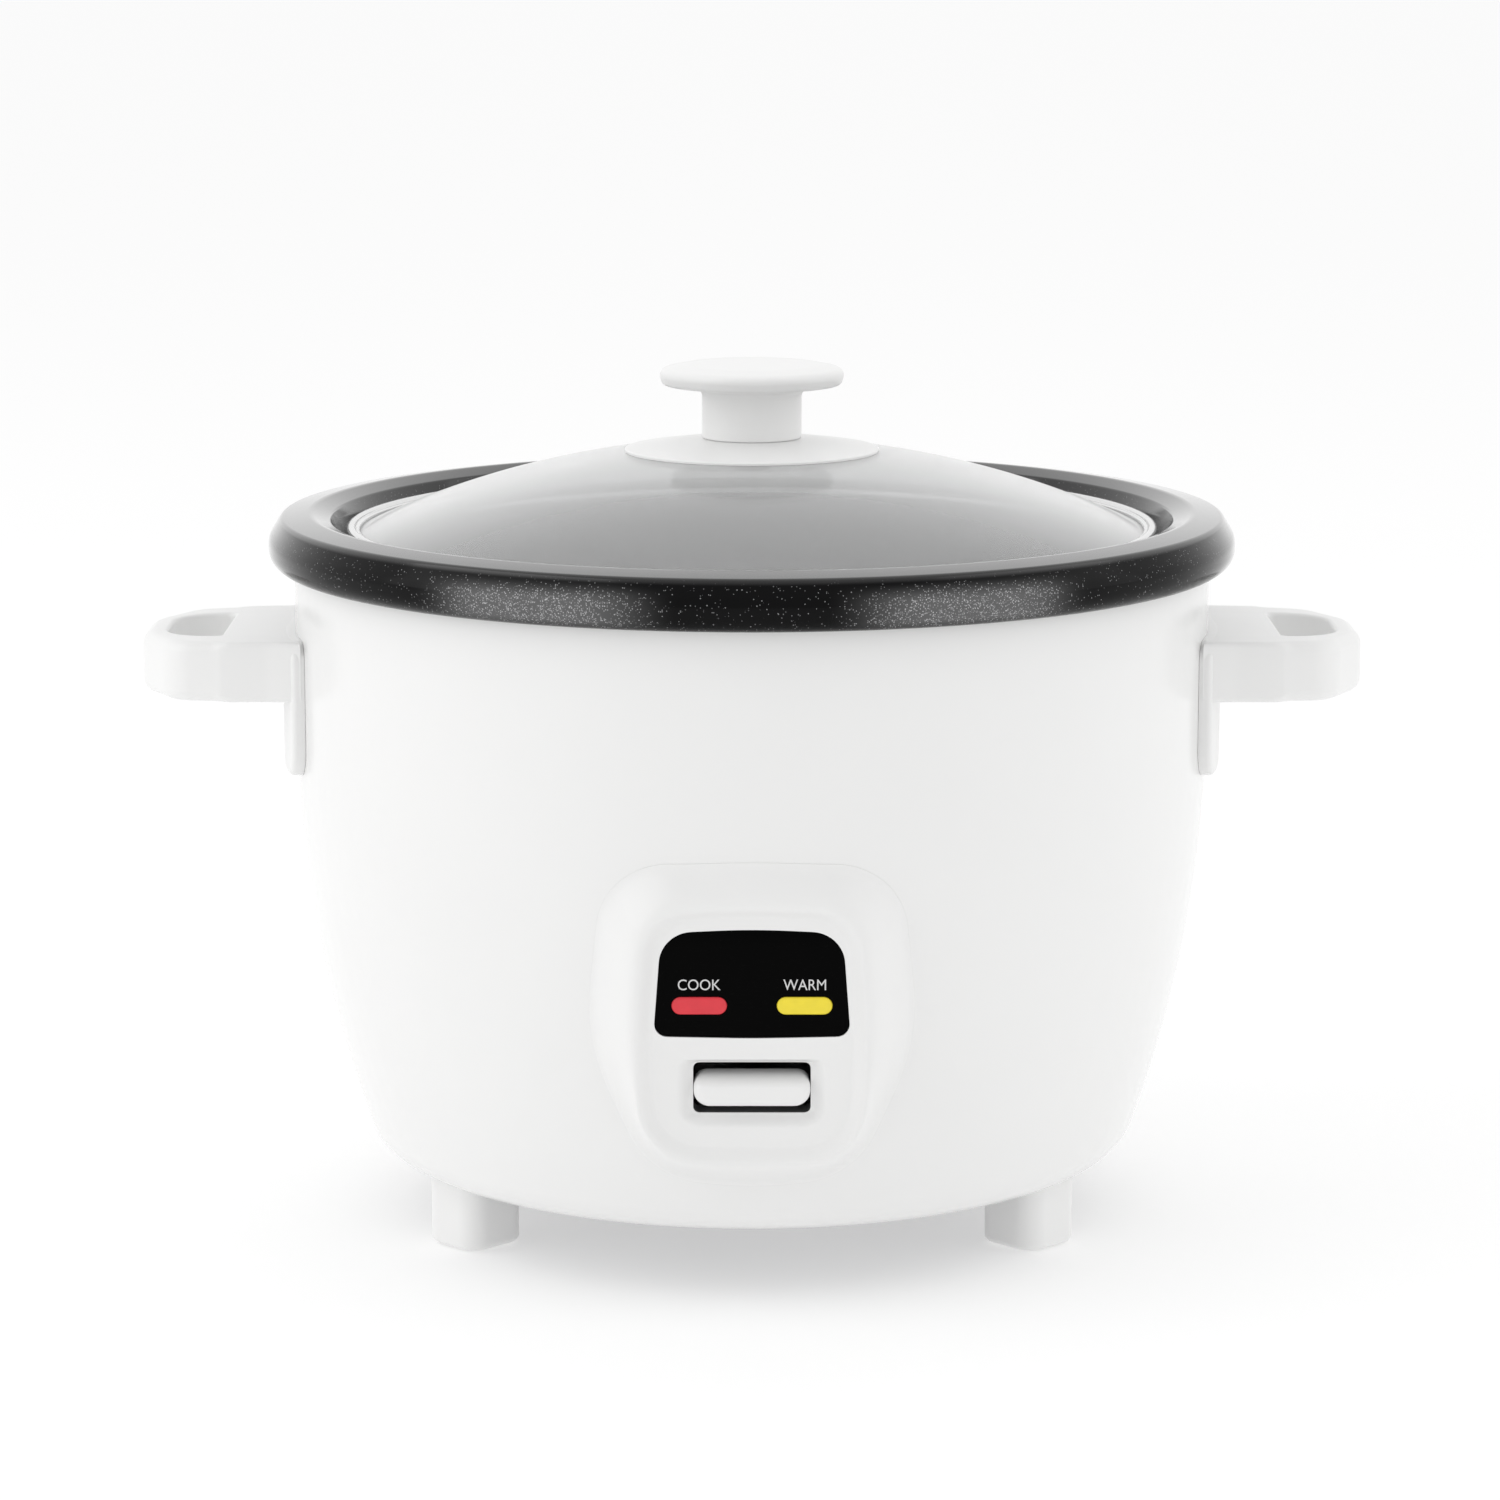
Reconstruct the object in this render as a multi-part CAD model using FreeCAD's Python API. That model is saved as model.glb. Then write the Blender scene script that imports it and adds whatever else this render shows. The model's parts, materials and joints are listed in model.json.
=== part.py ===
# Ten-cup electric rice cooker with a lift-off glass lid and a lift-out pot.
# Frame: origin on the table under the middle of the body, +Z up, front towards -Y, handles along X.
# All lengths are in millimetres.
import FreeCAD, Part

import math
import os

from FreeCAD import Vector

UP = Vector(0, 0, 1)
CENTRE = Vector(0, 0, 0)

# Body
BODY_RADIUS = 127.6
BODY_TOP = 183.0
BODY_BOTTOM = 19.5
TAPER_TOP = 82.1
TAPER_FOOT_RADIUS = 105.65
TAPER_BEND_RADIUS = 335.0
BODY_CORNER_RADIUS = 12.0
SHELL_WALL = 1.6
SHELL_LIP_RADIUS = 88.0
TOP_RING_HEIGHT = 1.9
LINER_RADIUS = 113.4
LINER_WALL = 0.8
LINER_BOTTOM = 50.0
LINER_MOUTH_RADIUS = 95.0
TOUCH = 0.05

# Pot
POT_RADIUS = 109.5
POT_BOTTOM = 62.0
POT_WALL = 1.8
POT_CORNER_RADIUS = 24.0
SEAT_TOP = 188.4
SEAT_RADIUS = 114.6
FLANGE_RADIUS = 134.7
FLANGE_WIDEST = 190.5
FLANGE_TOP = 200.2
FLANGE_CREST_RADIUS = 124.0
FLANGE_INNER_RADIUS = 117.5
FLANGE_LIP_BOTTOM = 185.2

# Lid
GLASS_RADIUS = 260.0
GLASS_TOP = 218.4
GLASS_WALL = 3.5
GLASS_EDGE = 111.2
LID_RING_RADIUS = 113.0
LID_RING_TOP = 196.3
KNOB_BASE_RADIUS = 35.5
KNOB_BASE_TOP = 219.7
STEM_RADIUS = 13.9
CAP_RADIUS = 26.0
CAP_TOP = 240.3
VENT_REACH = 62.0

# Base and feet
COVER_RADIUS = 94.5
COVER_WALL = 1.4
FOOT_RING_RADIUS = 88.7
FOOT_SIZE = 20.6
FOOT_ANGLES = (-30.0, 90.0, 210.0)

# Handles
HANDLE_END = 170.0
HANDLE_BOTTOM = 150.5
HANDLE_TOP = 167.3
HANDLE_HALF_WIDTH = 33.8
HANDLE_ROOT_HALF_WIDTH = 36.0
TONGUE_THICKNESS = 3.7
TONGUE_BOTTOM = 129.0
TONGUE_HALF_WIDTH = 36.0

# Control panel, drawn upright in front of the body and then tilted to follow the taper
PANEL_FRONT = -128.7
PANEL_MIDDLE = 80.0
PANEL_TILT = 4.15
LEVER_LEVEL = 64.75
LENS_LEVEL = 87.3
LENS_SPREAD = 13.6

# Cooking mechanism
PLATE_RADIUS = 91.0
PLATE_TOP = 61.7
PLATE_BOTTOM = 52.0
SENSOR_RADIUS = 17.5
SENSOR_FERRITE_THICKNESS = 4.2
MAGNET_RADIUS = 10.0
MAGNET_BOTTOM = 45.2
MAGNET_THICKNESS = 4.7
PIVOT_Y = -80.0
PIVOT_Z = 36.0
PIN_RADIUS = 1.5
RUNNING_GAP = 0.05
ARM_THICKNESS = 3.0

# Mains inlet
INLET_LEVEL = 42.0
INLET_BACK = 101.5
INLET_FACE = 120.5
INLET_HALF_WIDTH = 16.5
INLET_HALF_HEIGHT = 11.5

# Fastenings
HANDLE_SCREW_Y = (-24.0, 24.0)
HANDLE_SCREW_Z = 159.0
COVER_TOP = BODY_BOTTOM - TOUCH
COVER_SCREW_RADIUS = 91.3
COVER_SCREW_ANGLES = (30.0, 150.0, 270.0)
SCREW_HEAD_RADIUS = 2.7
FOOT_BOTTOM = 0.5
PAD_RADIUS = 6.0
SLEEVE_BORE = 16.0
SWITCH_Y = -52.0
WINDOW_SINK = 1.5
WINDOW_DEPTH = 1.8


def corner_arc(before, here, after, radius):
    """Where a rounded corner starts, a point in its middle, and where it ends."""
    back = (before - here).normalize()
    ahead = (after - here).normalize()
    half_angle = back.getAngle(ahead) / 2
    reach = radius / math.tan(half_angle)
    centre = here + (back + ahead).normalize() * (radius / math.sin(half_angle))
    middle = centre + (here - centre).normalize() * radius
    return here + back * reach, middle, here + ahead * reach


def bent_path(points, radius):
    """Open path of straight runs joined by tangent arcs."""
    edges = []
    last = points[0]
    for before, here, after in zip(points, points[1:], points[2:]):
        enter, middle, leave = corner_arc(before, here, after, radius)
        edges.append(Part.makeLine(last, enter))
        edges.append(Part.Arc(enter, middle, leave).toShape())
        last = leave
    edges.append(Part.makeLine(last, points[-1]))
    return Part.Wire(edges)


def rounded_wire(corners, place):
    """Closed wire through corners (a, b) or (a, b, radius); place turns a flat point into a Vector."""
    flat = [Vector(corner[0], corner[1], 0) for corner in corners]
    trims = []
    for index, corner in enumerate(corners):
        here = flat[index]
        if len(corner) < 3:
            trims.append((here, None, here))
        else:
            trims.append(corner_arc(flat[index - 1], here, flat[(index + 1) % len(flat)], corner[2]))
    edges = []
    for index, (enter, middle, leave) in enumerate(trims):
        previous = trims[index - 1][2]
        if previous.distanceToPoint(enter) > 1e-6:
            edges.append(Part.makeLine(place(previous), place(enter)))
        if middle is not None:
            edges.append(Part.Arc(place(enter), place(middle), place(leave)).toShape())
    return Part.Wire(edges)


def upright(point):
    """Flat (radius, height) point set in the XZ plane."""
    return Vector(point.x, 0, point.y)


def revolved(corners):
    """Solid turned about the Z axis from a closed outline of (radius, height) corners."""
    return Part.Face(rounded_wire(corners, upright)).revolve(CENTRE, UP, 360)


def rod(radius, length, base, axis=UP):
    """Round rod of the given length that starts at base and runs along axis."""
    return Part.makeCylinder(radius, length, Vector(*base), axis)


def block(low, high):
    """Box between two opposite corners."""
    size = [b - a for a, b in zip(low, high)]
    return Part.makeBox(size[0], size[1], size[2], Vector(*low))


def plan_prism(corners, low, high):
    """Upright prism with the given plan outline between two heights."""
    wire = rounded_wire(corners, lambda point: Vector(point.x, point.y, low))
    return Part.Face(wire).extrude(Vector(0, 0, high - low))


def front_wire(corners, y):
    """Closed outline facing the front, standing at the given Y."""
    return rounded_wire(corners, lambda point: Vector(point.x, y, point.y))


def front_prism(corners, front, depth):
    """Prism with an outline facing the front, from Y = front backwards by depth."""
    return Part.Face(front_wire(corners, front)).extrude(Vector(0, depth, 0))


def side_prism(corners, half_width):
    """Prism with an outline in the YZ plane, centred on X = 0."""
    wire = rounded_wire(corners, lambda point: Vector(-half_width, point.x, point.y))
    return Part.Face(wire).extrude(Vector(2 * half_width, 0, 0))


def strip_outline(path, half):
    """Outline of a strip of even thickness, half to each side of a bent path of flat points."""
    points = [Vector(a, b, 0) for a, b in path]
    runs = [(after - before).normalize() for before, after in zip(points, points[1:])]
    upper, lower = [], []
    for point, before, after in zip(points, runs[:1] + runs, runs + runs[-1:]):
        along = before + after
        normal = Vector(-along.y, along.x, 0).normalize()
        reach = half / normal.dot(Vector(-before.y, before.x, 0))
        upper.append(point + normal * reach)
        lower.append(point - normal * reach)
    return [(point.x, point.y) for point in upper + lower[::-1]]


def mirrored(outline):
    """Symmetric outline: the given right-hand corners, bottom to top, and their mirror images."""
    left = [(-corner[0],) + tuple(corner[1:]) for corner in reversed(outline) if corner[0] != 0]
    return list(outline) + left


# Outlines of the panel, right-hand corners from bottom to top as (x, z, corner radius)
BEZEL_OUTLINE = mirrored([(0, 33.2, 140), (27, 35.5, 22), (43.6, 74, 60), (38.5, 123, 20), (0, 125, 180)])
RIM_OUTLINE = mirrored([(0, 44.6, 250), (28.4, 45.8, 16), (30.4, 78, 190), (27.6, 113, 13), (0, 114.4, 240)])
FACE_OUTLINE = mirrored([(0, 48.8, 240), (24.4, 50, 12), (26.2, 78, 190), (23.6, 109.4, 9.5),
                         (0, 110.6, 220)])
WINDOW_OUTLINE = mirrored([(0, 78.5, 300), (25.5, 79, 3.4), (23.4, 106.9, 8.8), (0, 108, 200)])
DISH_OUTLINE = mirrored([(19.5, 54.2, 6), (19.5, 73, 3)])
SLOT_OUTLINE = mirrored([(15.25, 57.7, 1.6), (15.25, 71.5, 1.6)])


def capsule(middle, level, width, height):
    """Outline of a lying capsule for a lamp lens."""
    x, z, r = width / 2, height / 2, height / 2 - 0.01
    corners = [(x, -z, r), (x, z, r), (-x, z, r), (-x, -z, r)]
    return [(middle + cx, level + cz, cr) for cx, cz, cr in corners]


def tilted(shape):
    """Panel piece leaned so that its top comes forward with the taper of the body."""
    turned = shape.copy()
    turned.rotate(Vector(0, PANEL_FRONT, PANEL_MIDDLE), Vector(1, 0, 0), PANEL_TILT)
    return turned


def around(shape, angles):
    """Copies of a shape turned about the Z axis."""
    copies = []
    for angle in angles:
        turned = shape.copy()
        turned.rotate(CENTRE, UP, angle)
        copies.append(turned)
    return copies


def mirror_x(shape):
    """Mirror image on the other side of the YZ plane."""
    return shape.mirror(CENTRE, Vector(1, 0, 0))


def joined(shapes):
    """One solid from several that touch or overlap."""
    return shapes[0].multiFuse(shapes[1:]).removeSplitter()


def body_corners(grow):
    """Side of the body from top to underside, moved outwards by grow."""
    slope = math.atan2(BODY_RADIUS - TAPER_FOOT_RADIUS, TAPER_TOP - BODY_BOTTOM)
    bend = TAPER_TOP - grow * math.tan(slope / 2)
    foot = TAPER_FOOT_RADIUS + grow * (1 - math.sin(slope)) / math.cos(slope)
    return [
        (BODY_RADIUS + grow, bend, TAPER_BEND_RADIUS + grow),
        (foot, BODY_BOTTOM - grow, BODY_CORNER_RADIUS + grow),
    ]


def body_envelope(grow):
    """Filled shape of the body, used to trim what is fastened to its outside."""
    return revolved(
        [(0, BODY_TOP), (BODY_RADIUS + grow, BODY_TOP)] + body_corners(grow) + [(0, BODY_BOTTOM - grow)])


def make_body_shell():
    """Deep-drawn outer wall with an inward lip at its foot and holes for the front, sides and rear."""
    wall = revolved(
        [(BODY_RADIUS, BODY_TOP)] + body_corners(0) + [(SHELL_LIP_RADIUS, BODY_BOTTOM)]
        + [(SHELL_LIP_RADIUS, BODY_BOTTOM + SHELL_WALL)] + body_corners(-SHELL_WALL)[::-1]
        + [(BODY_RADIUS - SHELL_WALL, BODY_TOP)])
    cuts = [
        block((-9, -135, LEVER_LEVEL - 9.5), (9, -105, LEVER_LEVEL + 9)),
        block((-INLET_HALF_WIDTH - 0.1, 95, INLET_LEVEL - INLET_HALF_HEIGHT - 0.1),
              (INLET_HALF_WIDTH + 0.1, 125, INLET_LEVEL + INLET_HALF_HEIGHT + 0.1)),
    ]
    for side in (-1, 1):
        lamp = side * LENS_SPREAD
        cuts.append(block((lamp - 6.6, -135, LENS_LEVEL - 2), (lamp + 6.6, -110, LENS_LEVEL + 2)))
        for y in HANDLE_SCREW_Y:
            cuts.append(rod(2.1, 12, (side * 120, y, HANDLE_SCREW_Z), Vector(side, 0, 0)))
    cuts += around(rod(1.6, 4, (COVER_SCREW_RADIUS, 0, 18.5)), COVER_SCREW_ANGLES)
    return wall.cut(cuts)


def make_top_ring():
    """Flat steel ring that closes the gap between shell and liner and carries the pot."""
    top = BODY_TOP + TOP_RING_HEIGHT
    return revolved([(LINER_RADIUS - LINER_WALL, BODY_TOP), (LINER_RADIUS - LINER_WALL, top),
                     (BODY_RADIUS - 0.3, top, 0.6), (BODY_RADIUS - 0.3, BODY_TOP)])


def make_liner():
    """Thin steel well around the pot, narrowing under it to the mouth that holds the heating plate."""
    inner = LINER_RADIUS - LINER_WALL
    bend = 78.0
    return revolved([
        (LINER_RADIUS, BODY_TOP), (LINER_RADIUS, bend, 20.8), (LINER_MOUTH_RADIUS + 2.4, LINER_BOTTOM, 2.0),
        (LINER_MOUTH_RADIUS - 2.0, LINER_BOTTOM), (LINER_MOUTH_RADIUS - 2.0, LINER_BOTTOM + LINER_WALL),
        (LINER_MOUTH_RADIUS + 1.8, LINER_BOTTOM + LINER_WALL, 1.2), (inner, bend + 0.3, 20.0),
        (inner, BODY_TOP)])


def make_inner_pot():
    """Aluminium pot with a lid seat and a broad rolled flange that hangs on the top ring."""
    inside = POT_RADIUS - POT_WALL
    ledge = SEAT_TOP - POT_WALL
    lip = FLANGE_LIP_BOTTOM
    skin = POT_WALL
    return revolved([
        (0, POT_BOTTOM), (POT_RADIUS, POT_BOTTOM, POT_CORNER_RADIUS), (POT_RADIUS, ledge, 0.6),
        (SEAT_RADIUS + 1.3, ledge, 0.8), (FLANGE_INNER_RADIUS + 1.4, FLANGE_TOP - 2.8, 0.8),
        (FLANGE_CREST_RADIUS + 1.5, FLANGE_TOP - 1.0, 5.0), (FLANGE_RADIUS - skin, FLANGE_WIDEST + 3.2, 4.5),
        (FLANGE_RADIUS - skin, lip + skin, 3.4), (124.5, lip + skin), (124.5, lip),
        (FLANGE_RADIUS, lip, 5.2), (FLANGE_RADIUS, FLANGE_WIDEST + 4.4, 7.0),
        (FLANGE_CREST_RADIUS + 2.4, FLANGE_TOP + 0.9, 7.0), (FLANGE_INNER_RADIUS, FLANGE_TOP - 2.0, 1.0),
        (SEAT_RADIUS, SEAT_TOP, 0.6), (inside, SEAT_TOP, 0.6),
        (inside, POT_BOTTOM + POT_WALL, POT_CORNER_RADIUS - POT_WALL), (0, POT_BOTTOM + POT_WALL)])


def glass_height(radius, sink=0.0):
    """Height of the lid's glass at a distance from the axis, sink below its outer surface."""
    return GLASS_TOP - GLASS_RADIUS + math.sqrt((GLASS_RADIUS - sink) ** 2 - radius ** 2)


def lid_normal_rod(radius, low, high):
    """Rod square to the glass at the steam vent, between two distances from the outer surface."""
    lean = math.degrees(math.asin(VENT_REACH / GLASS_RADIUS))
    shape = rod(radius, high - low, (0, 0, GLASS_RADIUS + low))
    shape.rotate(CENTRE, Vector(1, 0, 0), -lean)
    shape.translate(Vector(0, 0, GLASS_TOP - GLASS_RADIUS))
    return shape


def make_lid_glass():
    """Tempered glass dome with a centre hole for the knob screw and a vent hole at the rear."""
    middle = Vector(0, 0, GLASS_TOP - GLASS_RADIUS)
    dome = Part.makeSphere(GLASS_RADIUS, middle).cut(Part.makeSphere(GLASS_RADIUS - GLASS_WALL, middle))
    disc = dome.common(rod(GLASS_EDGE, 60, (0, 0, 170)))
    return disc.cut([rod(3.4, 20, (0, 0, 205)), lid_normal_rod(4.3, -8, 4)])


def make_lid_ring():
    """Steel band rolled round the edge of the glass."""
    outer = LID_RING_RADIUS
    grip = 109.4
    return revolved([
        (108.3, 188.75), (outer, 188.75, 0.8), (outer, LID_RING_TOP, 1.4), (grip, LID_RING_TOP - 0.2, 0.4),
        (grip, glass_height(grip) + TOUCH), (GLASS_EDGE + TOUCH, glass_height(GLASS_EDGE) + TOUCH),
        (GLASS_EDGE + TOUCH, glass_height(GLASS_EDGE, GLASS_WALL) - TOUCH),
        (108.3, glass_height(108.3, GLASS_WALL) - TOUCH)])


def make_knob_base():
    """Saucer under the knob that follows the glass."""
    saucer = revolved([(3.4, 205), (KNOB_BASE_RADIUS, 205), (KNOB_BASE_RADIUS, 216.75, 0.35),
                       (20, 219.0, 60), (13, KNOB_BASE_TOP, 4), (3.4, KNOB_BASE_TOP)])
    return saucer.cut(Part.makeSphere(GLASS_RADIUS + TOUCH, Vector(0, 0, GLASS_TOP - GLASS_RADIUS)))


def make_knob_cap():
    """Mushroom knob, hollow round a central screw boss."""
    cap = revolved([
        (2.5, KNOB_BASE_TOP), (STEM_RADIUS, KNOB_BASE_TOP, 0.5), (STEM_RADIUS, 233.2, 2.2),
        (CAP_RADIUS - 1.0, 234.7, 1.4), (CAP_RADIUS + 0.2, 238.9, 2.2), (CAP_RADIUS - 7.0, CAP_TOP, 12.0),
        (0, CAP_TOP), (0, 232.5), (2.5, 232.5)])
    hollow = revolved([(5.5, 215), (STEM_RADIUS - 2.2, 215), (STEM_RADIUS - 2.2, 236.5), (5.5, 236.5)])
    return cap.cut(hollow)


def make_lid_washer():
    """Silicone washer between the glass and the screw head."""
    washer = revolved([(3.2, 212.2), (9.0, 212.2), (9.0, 216), (3.2, 216)])
    return washer.cut(glass_underside_filler())


def glass_underside_filler():
    """Everything outside the glass's lower surface, to trim what presses against it."""
    middle = Vector(0, 0, GLASS_TOP - GLASS_RADIUS)
    return rod(60, 60, (0, 0, 190)).cut(Part.makeSphere(GLASS_RADIUS - GLASS_WALL - TOUCH, middle))


def make_lid_screw():
    """Pan-head screw from below the glass up into the knob."""
    head = revolved([(0, 209.6), (5.6, 209.6, 1.6), (5.6, 212.2), (0, 212.2)])
    screw = joined([head, rod(2.4, 231.5 - 212.0, (0, 0, 212.0))])
    return screw.cut(block((-4, -0.6, 209), (4, 0.6, 210.8)))


def make_vent_grommet():
    """Steel eyelet round the steam vent."""
    eyelet = joined([lid_normal_rod(4.2, -5.2, 1.0), lid_normal_rod(7.0, 0.1, 1.0),
                     lid_normal_rod(6.2, -5.2, -4.2)])
    return eyelet.cut(lid_normal_rod(2.2, -9, 5))


def make_bottom_cover():
    """Pressed steel plate screwed under the body, with radial cooling slots."""
    under = COVER_TOP - COVER_WALL
    plate = rod(COVER_RADIUS, COVER_WALL, (0, 0, under))
    slots = around(block((40, -1.6, 15), (62, 1.6, 25)), range(15, 360, 30))
    reach = SCREW_HEAD_RADIUS + TOUCH
    seat = revolved([(0, under - 1), (reach, under - 1), (reach, under + 0.2), (1.6, COVER_TOP),
                     (1.6, COVER_TOP + 1), (0, COVER_TOP + 1)])
    seat.translate(Vector(COVER_SCREW_RADIUS, 0, 0))
    return plate.cut(slots + around(seat, COVER_SCREW_ANGLES))


def make_feet():
    """Three square feet with rounded corners, one corner to the front, that follow the body above."""
    half = FOOT_SIZE / 2
    corners = [(half, -half, 6), (half, half, 6), (-half, half, 6), (-half, -half, 6)]
    column = plan_prism(corners, FOOT_BOTTOM, 30)
    rim = [edge for edge in column.Edges if edge.BoundBox.ZMax < FOOT_BOTTOM + 0.01]
    column = column.makeFillet(2.0, rim).cut(rod(PAD_RADIUS + 0.1, 2.1, (0, 0, FOOT_BOTTOM)))
    column.rotate(CENTRE, UP, 45)
    feet = []
    for angle in FOOT_ANGLES:
        foot = column.copy()
        turn = math.radians(angle)
        foot.translate(Vector(FOOT_RING_RADIUS * math.cos(turn), FOOT_RING_RADIUS * math.sin(turn), 0))
        above_cover = rod(COVER_RADIUS + 0.1, 20, (0, 0, COVER_TOP - COVER_WALL))
        feet.append(foot.cut([above_cover, body_envelope(TOUCH)]))
    return feet


def make_foot_pads():
    """Rubber discs set in the feet."""
    return around(rod(PAD_RADIUS, FOOT_BOTTOM + 2.0, (FOOT_RING_RADIUS, 0, 0)), FOOT_ANGLES)


def make_cover_screws():
    """Countersunk screws that hold the cover to the lip of the shell, flush with the cover."""
    under = COVER_TOP - COVER_WALL
    shank = 1.5
    screw = revolved([(0, under), (SCREW_HEAD_RADIUS, under), (SCREW_HEAD_RADIUS, under + 0.2),
                      (shank, COVER_TOP), (shank, COVER_TOP + 3.2), (0, COVER_TOP + 3.2)])
    screw = screw.cut(block((-2, -0.4, under - 1), (2, 0.4, under + 0.6)))
    screw.translate(Vector(COVER_SCREW_RADIUS, 0, 0))
    return around(screw, COVER_SCREW_ANGLES)


def make_handle():
    """Right-hand handle: a flat grip with a finger slot on a tongue that hugs the body."""
    front_half = [(118, -HANDLE_ROOT_HALF_WIDTH), (133, -HANDLE_HALF_WIDTH - 0.5, 20),
                  (146, -HANDLE_HALF_WIDTH, 0.8), (160, -31, 12), (HANDLE_END, -12, 16)]
    rear_half = [(corner[0], -corner[1], *corner[2:]) for corner in reversed(front_half)]
    grip = plan_prism(front_half + rear_half, HANDLE_BOTTOM, HANDLE_TOP)
    rims = [edge for edge in grip.Edges
            if edge.BoundBox.ZLength < 0.01 and edge.BoundBox.XMax > 130]
    grip = grip.makeFillet(2.4, rims)
    slot = plan_prism([(147, -20.5, 2), (163, -20.5, 13.5), (163, 20.5, 13.5), (147, 20.5, 2)], 140, 180)
    face = BODY_RADIUS + TONGUE_THICKNESS
    inner = 120
    band = revolved([(inner, TONGUE_BOTTOM), (face, TONGUE_BOTTOM, 1.6), (face, HANDLE_TOP, 1.6),
                     (inner, HANDLE_TOP)])
    wide = TONGUE_HALF_WIDTH
    outline = [(-wide, TONGUE_BOTTOM, 9), (wide, TONGUE_BOTTOM, 9), (wide, HANDLE_TOP, 5),
               (-wide, HANDLE_TOP, 5)]
    window = Part.Face(rounded_wire(outline, lambda point: Vector(100, point.x, point.y)))
    tongue = band.common(window.extrude(Vector(60, 0, 0)))
    handle = joined([grip.cut(slot), tongue]).cut(body_envelope(TOUCH))
    return handle.cut([rod(2.0, 18, (119, y, HANDLE_SCREW_Z), Vector(1, 0, 0)) for y in HANDLE_SCREW_Y])


def make_handle_screw(y):
    """Screw from inside the shell into the right-hand handle."""
    along = Vector(1, 0, 0)
    head = rod(3.6, 2.4, (120.2, y, HANDLE_SCREW_Z), along)
    return joined([head, rod(1.9, 14, (122, y, HANDLE_SCREW_Z), along)])


def make_panel_bezel():
    """Moulded surround that swells out of the body to an upright face with a raised rim."""
    sections = [front_wire(BEZEL_OUTLINE, -114), front_wire(RIM_OUTLINE, PANEL_FRONT)]
    blend = Part.makeLoft(sections, True, True)
    skirt = tilted(front_prism(BEZEL_OUTLINE, -140, 60)).common(body_envelope(1.6))
    bezel = joined([tilted(blend), skirt]).cut(body_envelope(TOUCH))
    cuts = [
        front_prism(FACE_OUTLINE, PANEL_FRONT - 1, 2.3),
        front_prism(WINDOW_OUTLINE, PANEL_FRONT - 1, 1 + WINDOW_SINK + WINDOW_DEPTH),
        front_prism(DISH_OUTLINE, PANEL_FRONT - 1, 4.0),
        front_prism(SLOT_OUTLINE, PANEL_FRONT - 1, 20),
    ]
    for side in (-1, 1):
        cuts.append(front_prism(capsule(side * LENS_SPREAD, LENS_LEVEL, 15.2, 5.6), PANEL_FRONT - 1, 20))
    return bezel.cut([tilted(cut) for cut in cuts])


def make_indicator_window():
    """Black window with two holes for the lamp lenses."""
    window = front_prism(WINDOW_OUTLINE, PANEL_FRONT + WINDOW_SINK, WINDOW_DEPTH - TOUCH)
    holes = [front_prism(capsule(side * LENS_SPREAD, LENS_LEVEL, 14.5, 4.9), PANEL_FRONT - 1, 20)
             for side in (-1, 1)]
    return tilted(window.cut(holes))


def make_lens(side):
    """Coloured lamp lens that stands slightly proud of the window."""
    front = PANEL_FRONT + WINDOW_SINK - 0.4
    return tilted(front_prism(capsule(side * LENS_SPREAD, LENS_LEVEL, 14.4, 4.8), front, 3.2))


def make_lamp(side):
    """Small lamp standing behind its lens, inside the shell."""
    level = LENS_LEVEL - 6
    return revolved([(0, level), (2.3, level, 1.0), (2.3, level + 12, 2.0), (0, level + 12)]).translated(
        Vector(side * LENS_SPREAD, -117.6, 0))


def make_lever_arm():
    """Bent steel arm from the knob, down inside the shell and back under the heating plate."""
    half = ARM_THICKNESS / 2
    path = [(-126, LEVER_LEVEL), (-115.5, LEVER_LEVEL), (-101, 43), (-92, PIVOT_Z), (4.5, PIVOT_Z)]
    arm = side_prism(strip_outline(path, half), 6)
    boss = rod(4.2, 12, (-6, PIVOT_Y, PIVOT_Z), Vector(1, 0, 0))
    bore = rod(PIN_RADIUS + RUNNING_GAP, 14, (-7, PIVOT_Y, PIVOT_Z), Vector(1, 0, 0))
    return joined([arm, boss]).cut([bore, rod(3.2, 10, (0, 0, PIVOT_Z - 5))])


def make_lever_knob():
    """White push bar on the front end of the arm."""
    outline = [(15.1, LEVER_LEVEL - 4.5, 4.2), (15.1, LEVER_LEVEL + 4.5, 4.2),
               (-15.1, LEVER_LEVEL + 4.5, 4.2), (-15.1, LEVER_LEVEL - 4.5, 4.2)]
    front = PANEL_FRONT - 1.4
    bar = front_prism(outline, front, 8.4)
    rim = [edge for edge in bar.Edges if edge.BoundBox.YMax < front + 0.01]
    return tilted(bar.makeFillet(2.6, rim)).cut(make_lever_arm())


def make_lever_pin():
    """Pivot pin, headed at both ends outside the bracket's ears."""
    along = Vector(1, 0, 0)
    heads = [rod(2.6, 1.2, (x, PIVOT_Y, PIVOT_Z), along) for x in (9.7, -10.9)]
    return joined([rod(PIN_RADIUS, 20, (-10, PIVOT_Y, PIVOT_Z), along)] + heads)


def make_lever_bracket():
    """Folded bracket whose two ears hold the pivot pin."""
    base = block((-13, -86, COVER_TOP), (13, -71, COVER_TOP + 1.5))
    ears = []
    for low in (8.0, -9.5):
        ear = [(-86, COVER_TOP), (-74, COVER_TOP), (-74, PIVOT_Z + 6, 5), (-86, PIVOT_Z + 6, 5)]
        wire = rounded_wire(ear, lambda point: Vector(low, point.x, point.y))
        ears.append(Part.Face(wire).extrude(Vector(1.5, 0, 0)))
    bore = rod(PIN_RADIUS + RUNNING_GAP, 30, (-15, PIVOT_Y, PIVOT_Z), Vector(1, 0, 0))
    return joined([base] + ears).cut(bore)


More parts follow.
